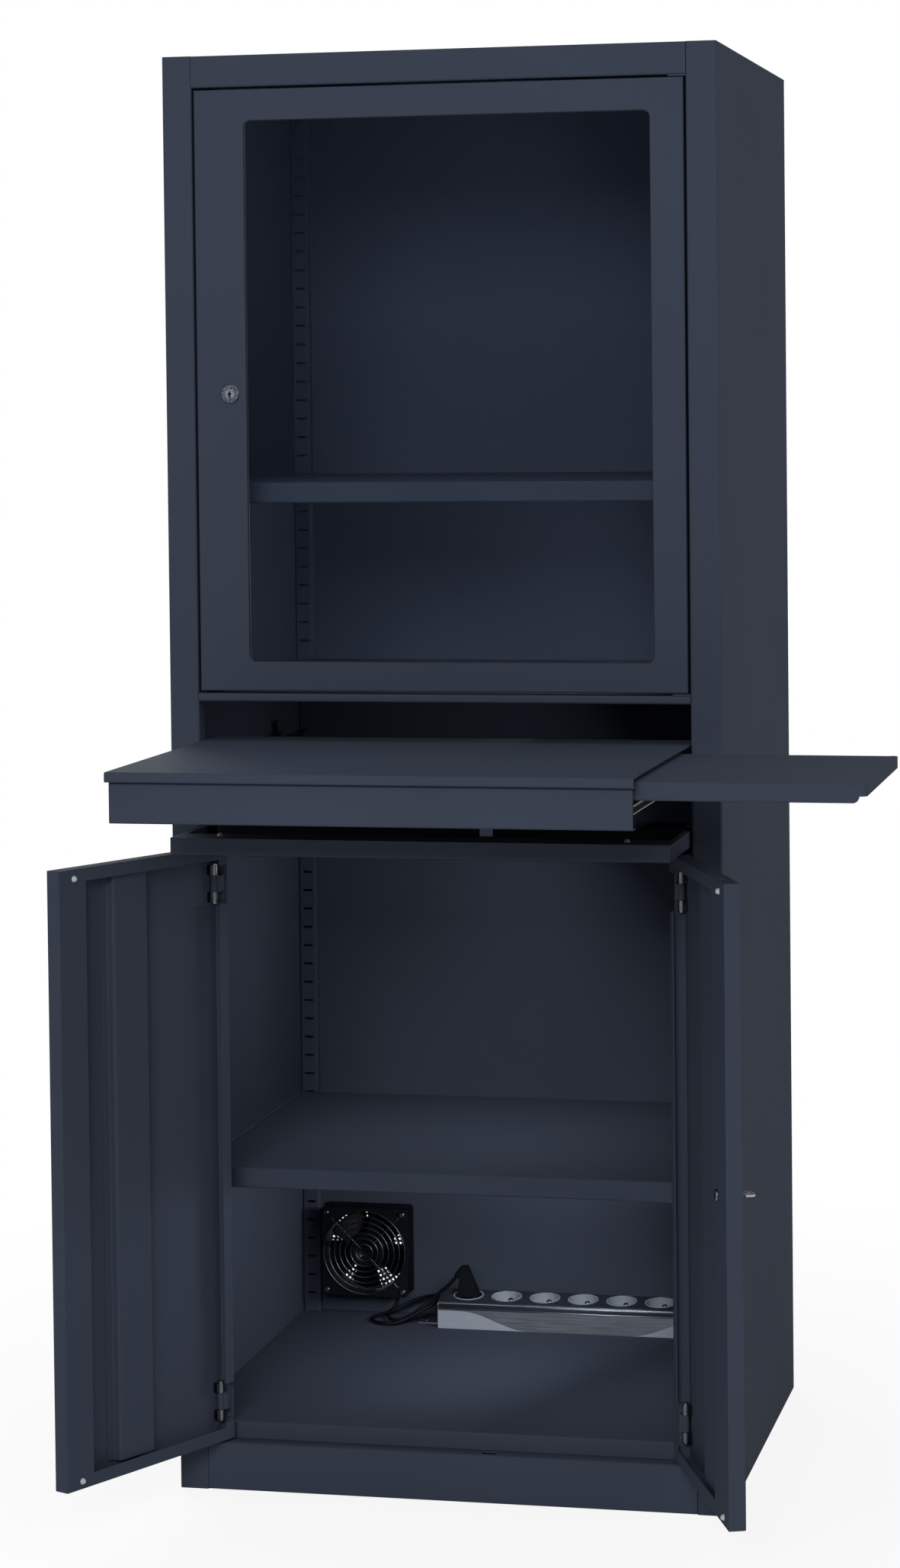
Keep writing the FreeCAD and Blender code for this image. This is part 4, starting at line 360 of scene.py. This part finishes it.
def bright_metal(name, colour, roughness, haze_scale=120.0, spread=0.14):
    metal = Shader(name, colour, roughness, metallic=1.0)
    haze = metal.noise(haze_scale, detail=3.0)
    scratch = metal.noise(scale=900.0, detail=2.0, stretch=(1, 0.1, 1))
    metal.set("Base Color", metal.tint(haze, 1 - spread, 1 + spread))
    metal.vary_roughness(haze, roughness * 0.75, roughness * 1.35)
    metal.bump(scratch, strength=0.04, distance=0.0001, below=metal.rounded_edges(radius=0.0004))
    return metal.material


def rubber(name, colour):
    skin = Shader(name, colour, roughness=0.5)
    skin.surface.inputs["Specular IOR Level"].default_value = 0.1
    grain = skin.noise(scale=1400.0, detail=2.0)
    dust = skin.noise(scale=45.0, detail=3.0)
    skin.set("Base Color", skin.tint(dust, 1.0, 1.8, low=0.4, high=0.8, most=0.6))
    skin.vary_roughness(grain, 0.38, 0.55)
    skin.bump(grain, strength=0.12, distance=0.0002)
    return skin.material


def plastic(name, colour, roughness, gloss=0.5):
    skin = Shader(name, colour, roughness)
    skin.surface.inputs["Specular IOR Level"].default_value = gloss
    grain = skin.noise(scale=1800.0, detail=2.0)
    cloud = skin.noise(scale=30.0, detail=3.0)
    skin.set("Base Color", skin.tint(cloud, 0.95, 1.04))
    skin.vary_roughness(grain, roughness * 0.9, roughness * 1.15)
    skin.bump(grain, strength=0.06, distance=0.0002, below=skin.rounded_edges(radius=0.0006))
    return skin.material


def aluminium():
    metal = Shader("strip_aluminium", (0.25, 0.275, 0.325), roughness=0.42, metallic=1.0)
    lines = metal.noise(scale=700.0, detail=2.0, stretch=(0.02, 1, 1))
    haze = metal.noise(scale=25.0, detail=3.0)
    metal.set("Base Color", metal.tint(haze, 0.9, 1.04))
    metal.vary_roughness(lines, 0.3, 0.46)
    metal.bump(lines, strength=0.08, distance=0.0002, below=metal.rounded_edges(radius=0.0003))
    return metal.material


# Clear pane: nearly all of it lets light straight through, and a little reflects
def pane():
    reflected = 0.03
    glass = Shader("pane", (0.02, 0.04, 0.12), roughness=0.03)
    smear = glass.noise(scale=9.0, detail=4.0)
    glass.set("Roughness", glass.ramp(smear, 0.4, 0.8, 0.01, 0.08))
    clear = glass.add("ShaderNodeBsdfTransparent")
    clear.inputs["Color"].default_value = (0.95, 0.97, 0.98, 1.0)
    both = glass.add("ShaderNodeMixShader")
    both.inputs["Fac"].default_value = reflected
    glass.link(clear.outputs["BSDF"], both.inputs[1])
    glass.link(glass.surface.outputs["BSDF"], both.inputs[2])
    glass.link(both.outputs["Shader"], glass.tree.nodes["Material Output"].inputs["Surface"])
    return glass.material


def make_materials():
    return {
        "powder_coat": powder_coat(),
        "zinc": zinc(),
        "slide_steel": bright_metal("slide_steel", (0.075, 0.08, 0.09), 0.34),
        "seal_rubber": rubber("seal_rubber", (0.008, 0.0095, 0.013)),
        "pane": pane(),
        "lock_dark": bright_metal(
            "lock_dark", (0.062, 0.072, 0.095), 0.3, haze_scale=500.0, spread=0.7
        ),
        "hinge_steel": bright_metal("hinge_steel", (0.10, 0.105, 0.115), 0.2),
        "lock_metal": bright_metal(
            "lock_metal", (0.14, 0.15, 0.17), 0.26, haze_scale=650.0, spread=0.85
        ),
        "key_metal": bright_metal("key_metal", (0.42, 0.43, 0.45), 0.28),
        "fan_black": plastic("fan_black", (0.004, 0.0052, 0.0085), 0.5, gloss=0.06),
        "fan_plastic": plastic("fan_plastic", (0.004, 0.0052, 0.0085), 0.4, gloss=0.08),
        "guard_wire": bright_metal("guard_wire", (0.095, 0.105, 0.125), 0.3),
        "strip_aluminium": aluminium(),
        "strip_plastic": plastic("strip_plastic", (0.25, 0.28, 0.33), 0.45, gloss=0.2),
        "cover_plastic": plastic("cover_plastic", (0.022, 0.028, 0.042), 0.5, gloss=0.1),
        "bumper_plastic": plastic("bumper_plastic", (0.40, 0.42, 0.45), 0.5),
        "lead_rubber": rubber("lead_rubber", (0.003, 0.004, 0.0065)),
    }


# Nodes whose plating is darker than the rest of their slot
FINISHES = {
    "left_door_knuckles": "hinge_steel",
    "right_door_knuckles": "hinge_steel",
    "upper_lock_barrel": "lock_dark",
}


def dress_nodes():
    for row in frame["record"]["subparts"]:
        slots = nodes[row["node"]].data.materials
        slots.clear()
        slots.append(materials[FINISHES.get(row["node"], row["material_slot"])])


# Fan lead along the same route as its solid, as one smooth spline
def lead_point(x, y, z):
    return Vector((LEAD_STRIP_LEFT + x, LEAD_BACK_FACE + y, LEAD_FLOOR + z))


LEAD_ROUTE = [
    LEAD_START,
    LEAD_START + Vector((-1.5, -1.5, -10.5)),
    LEAD_START + Vector((-8, -6, -18.5)),
    lead_point(-88, -28.5, 2.8),
    lead_point(-97, -41.5, 2.8),
    lead_point(-96.5, -57, 2.8),
    lead_point(-88, -70, 2.8),
    lead_point(-74, -77, 2.8),
    lead_point(-58.5, -76, 3.3),
    lead_point(-44, -71.5, 9),
    lead_point(-29.5, -67.5, 17),
    lead_point(-16, -61, 24),
    lead_point(-6.5, -48, 28.5),
    lead_point(-7, -32.5, 31),
    lead_point(-17.5, -21.5, 30.5),
    lead_point(-32.5, -18, 26.5),
    lead_point(-48.5, -19.5, 20.5),
    lead_point(-64, -24, 13.5),
    lead_point(-75.5, -35, 9),
    lead_point(-75, -50, 5.5),
    lead_point(-67.5, -61, 4.5),
    lead_point(-54.5, -64.5, 5.5),
    lead_point(-41, -61, 10.5),
    lead_point(-29, -53.5, 19),
    lead_point(-16.5, -47.5, 29),
    lead_point(-2.5, -48, 42),
    LEAD_END - LEAD_HEADING * LEAD_END_RUN,
    LEAD_END,
]


def make_lead():
    curve = bpy.data.curves.new("fan_lead_sheath", "CURVE")
    curve.dimensions = "3D"
    curve.bevel_depth = LEAD_DIAMETER / 2
    curve.bevel_resolution = 6
    curve.resolution_u = 10
    curve.use_fill_caps = True
    spline = curve.splines.new("NURBS")
    spline.points.add(len(LEAD_ROUTE) - 1)
    for point, place in zip(spline.points, LEAD_ROUTE):
        point.co = (*(place * MM), 1.0)
    spline.order_u = 3
    spline.use_endpoint_u = True
    lead = bpy.data.objects.new("fan_lead_sheath", curve)
    bpy.context.scene.collection.objects.link(lead)
    curve.materials.append(materials["lead_rubber"])
    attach(lead, "carcass")
    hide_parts("fan_lead")


# Mesh pieces, with the material of their slot
def new_piece(name, build, body, slot):
    made = bmesh.new()
    build(made)
    bmesh.ops.recalc_face_normals(made, faces=made.faces)
    mesh = bpy.data.meshes.new(name)
    made.to_mesh(mesh)
    made.free()
    for face in mesh.polygons:
        face.use_smooth = True
    mesh.materials.append(materials[slot])
    piece = bpy.data.objects.new(name, mesh)
    bpy.context.scene.collection.objects.link(piece)
    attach(piece, body)
    return piece


# Faces between two rows with the same number of points
def stitch(made, first, second):
    for index in range(len(first) - 1):
        after = index + 1
        made.faces.new((first[index], first[after], second[after], second[index]))


# The same between two rings
def bridge(made, first, second):
    stitch(made, first + first[:1], second + second[:1])


# Closed form through rings, with flat ends
def close_rings(made, rings):
    for first, second in zip(rings, rings[1:]):
        bridge(made, first, second)
    made.faces.new(rings[0])
    made.faces.new(rings[-1])


# Wire of round section along points that lie in a plane across Y
def add_wire(made, points, radius, closed, sides=10):
    count = len(points)
    rings = []
    for index, point in enumerate(points):
        if closed:
            ahead = points[(index + 1) % count] - points[index - 1]
        else:
            ahead = points[min(index + 1, count - 1)] - points[max(index - 1, 0)]
        across = ahead.normalized().cross(Vector((0, 1, 0)))
        ring = []
        for side in range(sides):
            turn = 2 * math.pi * side / sides
            out = across * math.cos(turn) + Vector((0, math.sin(turn), 0))
            ring.append(made.verts.new(point + out * radius))
        rings.append(ring)
    if closed:
        for index in range(count):
            bridge(made, rings[index], rings[(index + 1) % count])
    else:
        close_rings(made, rings)


# Turned form on a foot, from rows of radius and height along its axis
def add_turned(made, foot, axis, profile, count=20):
    across = axis.orthogonal().normalized()
    other = axis.cross(across)
    rings = []
    for radius, height in profile:
        ring = []
        for side in range(count):
            turn = 2 * math.pi * side / count
            flat = across * math.cos(turn) + other * math.sin(turn)
            ring.append(made.verts.new(foot + flat * radius + axis * height))
        rings.append(ring)
    close_rings(made, rings)


def ring_points(centre, radius, count):
    turns = [2 * math.pi * index / count for index in range(count)]
    return [centre + Vector((math.cos(turn), 0, math.sin(turn))) * radius for turn in turns]


# Fan guard: rings of round wire on spokes that end in eyes under the corner screws
def build_guard(made):
    eye_y = FAN_FRONT - GUARD_WIRE
    ring_y = eye_y - GUARD_RING_LIFT
    for index in range(GUARD_RING_COUNT):
        radius = GUARD_FIRST_RING + index * GUARD_RING_STEP
        ring = ring_points(Vector((FAN_X, ring_y, FAN_Z)), radius, GUARD_RING_POINTS)
        add_wire(made, ring, GUARD_WIRE, closed=True)
    middle = Vector((FAN_X, eye_y, FAN_Z))
    for x in (-FAN_HOLE_HALF, FAN_HOLE_HALF):
        for z in (-FAN_HOLE_HALF, FAN_HOLE_HALF):
            eye = Vector((FAN_X + x, eye_y, FAN_Z + z))
            out = Vector((x, 0, z)).normalized()
            reach = math.hypot(x, z) - GUARD_EYE
            start = middle + out * GUARD_SPOKE_START
            end = middle + out * reach
            shares = [step / GUARD_SPOKE_STEPS for step in range(GUARD_SPOKE_STEPS + 1)]
            add_wire(made, [start.lerp(end, share) for share in shares], GUARD_WIRE, closed=False)
            add_wire(made, ring_points(eye, GUARD_EYE, GUARD_EYE_POINTS), GUARD_WIRE, closed=True)


# Fan rotor: a hub with a rounded rim and cambered blades that narrow to the tip edge
def build_rotor(made):
    add_turned(made, Vector((FAN_X, 0, FAN_Z)), Vector((0, 1, 0)), HUB_PROFILE, HUB_POINTS)
    for index in range(BLADE_COUNT):
        add_blade(made, BLADE_START + 2 * math.pi * index / BLADE_COUNT)


# One blade: two cambered skins from the hub to the tip, closed all round
def add_blade(made, turn):
    skins = []
    for side in (-1, 1):
        rows = []
        for step in range(BLADE_SPANS + 1):
            share = step / BLADE_SPANS
            radius = BLADE_ROOT + (BLADE_TIP - BLADE_ROOT) * share
            chord = BLADE_ROOT_CHORD + (BLADE_TIP_CHORD - BLADE_ROOT_CHORD) * share
            pitch = math.radians(BLADE_ROOT_PITCH + (BLADE_TIP_PITCH - BLADE_ROOT_PITCH) * share)
            row = []
            for place in range(BLADE_CHORDS + 1):
                along = place / BLADE_CHORDS - 0.5
                bulge = 1 - 4 * along * along
                thickness = BLADE_EDGE_SHARE + (1 - BLADE_EDGE_SHARE) * bulge
                lift = BLADE_CAMBER * chord * bulge + side * BLADE_HALF * thickness
                across = along * chord * math.cos(pitch) - lift * math.sin(pitch)
                depth = along * chord * math.sin(pitch) + lift * math.cos(pitch)
                angle = turn + across / radius
                row.append(made.verts.new((
                    FAN_X + radius * math.sin(angle),
                    BLADE_MIDDLE + depth,
                    FAN_Z + radius * math.cos(angle),
                )))
            rows.append(row)
        for first, second in zip(rows, rows[1:]):
            stitch(made, first, second)
        skins.append(rows)
    lower, upper = skins
    for step in (0, BLADE_SPANS):
        stitch(made, lower[step], upper[step])
    for place in (0, BLADE_CHORDS):
        stitch(made, [row[place] for row in lower], [row[place] for row in upper])


# Earth pins of the free sockets: round pins with a domed tip
def build_pins(made):
    slope = Vector((0, math.cos(STRIP_TILT), math.sin(STRIP_TILT)))
    normal = Vector((0, -math.sin(STRIP_TILT), math.cos(STRIP_TILT)))
    for index in range(1, SOCKET_COUNT):
        socket = SOCKET_FIRST + Vector((index * SOCKET_PITCH, 0, 0))
        foot = socket + Vector((PIN_OFF, 0, 0)) - slope * PIN_OFF
        add_turned(made, foot, normal, PIN_PROFILE)


# Trim along the strip's face: two beads with a thin dark band between them, which is painted shade
# standing in for the shadowed groove
def build_trim_beads(made):
    stations = (TRIM_LEFT, (TRIM_LEFT + TRIM_RIGHT) / 2, TRIM_RIGHT)
    for z in TRIM_BEADS:
        points = [Vector((x, TRIM_FACE, z)) for x in stations]
        add_wire(made, points, TRIM_BEAD, closed=False, sides=12)


# Dark band between the beads: a thin strip laid on the face as painted shade for the groove
def build_painted_groove_shade(made):
    rings = []
    for x in (TRIM_LEFT, TRIM_RIGHT):
        rings.append([made.verts.new((x, y, z)) for y, z in PAINTED_GROOVE_SHADE_BAND])
    close_rings(made, rings)


# Keyhole of the upper lock: a round with a slot below it, a black piece set into the plug's face
# and standing a little proud of it, as painted shade for the hollow keyway
def build_painted_keyhole_shade(made):
    outline = []
    for step in range(KEYHOLE_STEPS + 1):
        turn = KEYHOLE_OPEN + (2 * math.pi - 2 * KEYHOLE_OPEN) * step / KEYHOLE_STEPS - math.pi / 2
        outline.append((KEYHOLE_ROUND * math.cos(turn), KEYHOLE_ROUND * math.sin(turn)))
    half = abs(outline[0][0])
    outline += [(-half, -KEYHOLE_SLOT), (half, -KEYHOLE_SLOT)]
    rings = []
    for y in (UPPER_LOCK.y - KEYHOLE_PROUD, UPPER_LOCK.y + KEYHOLE_SINK):
        rings.append([made.verts.new((UPPER_LOCK.x + x, y, UPPER_LOCK.z + z)) for x, z in outline])
    close_rings(made, rings)


# Bumpers: a low foot with a dome on it, at each end of the node's box
def build_bumpers(node, axis, along):
    low, high = (Vector(corner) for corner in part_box(node))
    middle = (low + high) / 2

    def build(made):
        for end in (low, high):
            inward = BUMPER_IN if end is low else -BUMPER_IN
            foot = middle.copy()
            foot[along] = end[along] + inward
            add_turned(made, foot - axis * BUMPER_HALF, axis, BUMPER_PROFILE)

    return build


# Bumpers of both doors, up and down their edges, and of the flap, across it
def make_bumpers():
    left_inward = Vector((math.sin(LEFT_DOOR_ANGLE), math.cos(LEFT_DOOR_ANGLE), 0))
    right_inward = Vector((-math.sin(RIGHT_DOOR_ANGLE), math.cos(RIGHT_DOOR_ANGLE), 0))
    for node, body, axis, along in (
        ("left_door_bumpers", "left_door", left_inward, Z_AXIS),
        ("right_door_bumpers", "right_door", right_inward, Z_AXIS),
        ("flap_bumpers", "flap", Vector((0, 0, 1)), X_AXIS),
    ):
        build = build_bumpers(node, axis, along)
        domes = new_piece(node + "_domes", build, body, "bumper_plastic")
        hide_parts(node)


# One for the rays that see the white backdrop: camera, mirror and clear ones
def seen_white(tree):
    path = tree.nodes.new("ShaderNodeLightPath")
    kinds = path.outputs["Is Camera Ray"]
    for name in ("Is Glossy Ray", "Is Transmission Ray"):
        either = tree.nodes.new("ShaderNodeMath")
        either.operation = "MAXIMUM"
        tree.links.new(kinds, either.inputs[0])
        tree.links.new(path.outputs[name], either.inputs[1])
        kinds = either.outputs["Value"]
    return kinds


# Nought on the floor under the carcass, one beside it
def outside_foot(shader):
    scaled = shader.add("ShaderNodeVectorMath", operation="DIVIDE")
    shader.link(shader.place, scaled.inputs[0])
    scaled.inputs[1].default_value = (*FOOT_HALF, 1.0)
    size = shader.add("ShaderNodeVectorMath", operation="ABSOLUTE")
    shader.link(scaled.outputs["Vector"], size.inputs[0])
    axes = shader.add("ShaderNodeSeparateXYZ")
    shader.link(size.outputs["Vector"], axes.inputs["Vector"])
    larger = shader.add("ShaderNodeMath", operation="MAXIMUM")
    shader.link(axes.outputs["X"], larger.inputs[0])
    shader.link(axes.outputs["Y"], larger.inputs[1])
    return shader.ramp(larger.outputs["Value"], FOOT_EDGE, 1.0)


# Pale floor: white to the camera, with part of the shadow kept near the cabinet
def make_floor():
    mesh = bpy.data.meshes.new("floor")
    ways = ((-1, -1), (1, -1), (1, 1), (-1, 1))
    corners = [(x * FLOOR_REACH, y * FLOOR_REACH, 0) for x, y in ways]
    mesh.from_pydata(corners, [], [(0, 1, 2, 3)])
    floor = bpy.data.objects.new("floor", mesh)
    bpy.context.scene.collection.objects.link(floor)
    shader = Shader("floor", (0.82, 0.82, 0.82), 0.7)
    mottle = shader.noise(scale=3.0, detail=3.0)
    shader.set("Base Color", shader.mix(mottle, shader.shade(0.99), shader.shade(1.01)))
    glow = shader.add("ShaderNodeEmission")
    glow.inputs["Strength"].default_value = 1.0
    far = shader.add("ShaderNodeVectorMath", operation="LENGTH")
    shader.link(shader.place, far.inputs[0])
    fade = shader.ramp(far.outputs["Value"], FLOOR_NEAR, FLOOR_FAR, FLOOR_NEAR_WHITE, 1.0)
    clear = shader.add("ShaderNodeMath", operation="MULTIPLY")
    shader.link(fade, clear.inputs[0])
    shader.link(outside_foot(shader), clear.inputs[1])
    share = shader.add("ShaderNodeMath", operation="MULTIPLY")
    shader.link(clear.outputs["Value"], share.inputs[0])
    shader.link(seen_white(shader.tree), share.inputs[1])
    both = shader.add("ShaderNodeMixShader")
    shader.link(share.outputs["Value"], both.inputs["Fac"])
    shader.link(shader.surface.outputs["BSDF"], both.inputs[1])
    shader.link(glow.outputs["Emission"], both.inputs[2])
    shader.link(both.outputs["Shader"], shader.tree.nodes["Material Output"].inputs["Surface"])
    mesh.materials.append(shader.material)


def make_world():
    world = bpy.data.worlds.new("studio")
    bpy.context.scene.world = world
    world.use_nodes = True
    tree = world.node_tree
    sky = tree.nodes["Background"]
    sky.inputs["Color"].default_value = (1, 1, 1, 1)
    sky.inputs["Strength"].default_value = SKY_STRENGTH
    white = tree.nodes.new("ShaderNodeBackground")
    white.inputs["Color"].default_value = (1, 1, 1, 1)
    white.inputs["Strength"].default_value = 1.0
    choose = tree.nodes.new("ShaderNodeMixShader")
    tree.links.new(seen_white(tree), choose.inputs["Fac"])
    tree.links.new(sky.outputs["Background"], choose.inputs[1])
    tree.links.new(white.outputs["Background"], choose.inputs[2])
    tree.links.new(choose.outputs["Shader"], tree.nodes["World Output"].inputs["Surface"])


def make_lamp(name, place, target, size, power):
    data = bpy.data.lights.new(name, "AREA")
    data.shape = "RECTANGLE"
    data.size, data.size_y = size
    data.energy = power
    lamp = bpy.data.objects.new(name, data)
    bpy.context.scene.collection.objects.link(lamp)
    place = Vector(place)
    turn = (Vector(target) - place).to_track_quat("-Z", "Y")
    lamp.matrix_world = Matrix.Translation(place) @ turn.to_matrix().to_4x4()


bpy.context.scene.view_settings.view_transform = "Standard"
make_camera()
materials = make_materials()
dress_nodes()
make_lead()
guard = new_piece("fan_guard_wire", build_guard, "carcass", "guard_wire")
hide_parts("fan_guard")
rotor = new_piece("fan_rotor_moulding", build_rotor, "rotor", "fan_plastic")
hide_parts("fan_rotor")
new_piece("strip_trim_beads", build_trim_beads, "carcass", "strip_aluminium")
new_piece("strip_painted_groove_shade", build_painted_groove_shade, "carcass", "cover_plastic")
new_piece("earth_pins", build_pins, "carcass", "slide_steel")
new_piece("upper_lock_keyhole_shade", build_painted_keyhole_shade, "upper_lock", "fan_black")
make_bumpers()
make_floor()
make_world()
for name, place, target, size, power in STUDIO_LAMPS:
    make_lamp(name, place, target, size, power)
for name, place, target, power in COMPARTMENT_LAMPS:
    make_lamp(name, place, target, LAMP_SIZE, power)
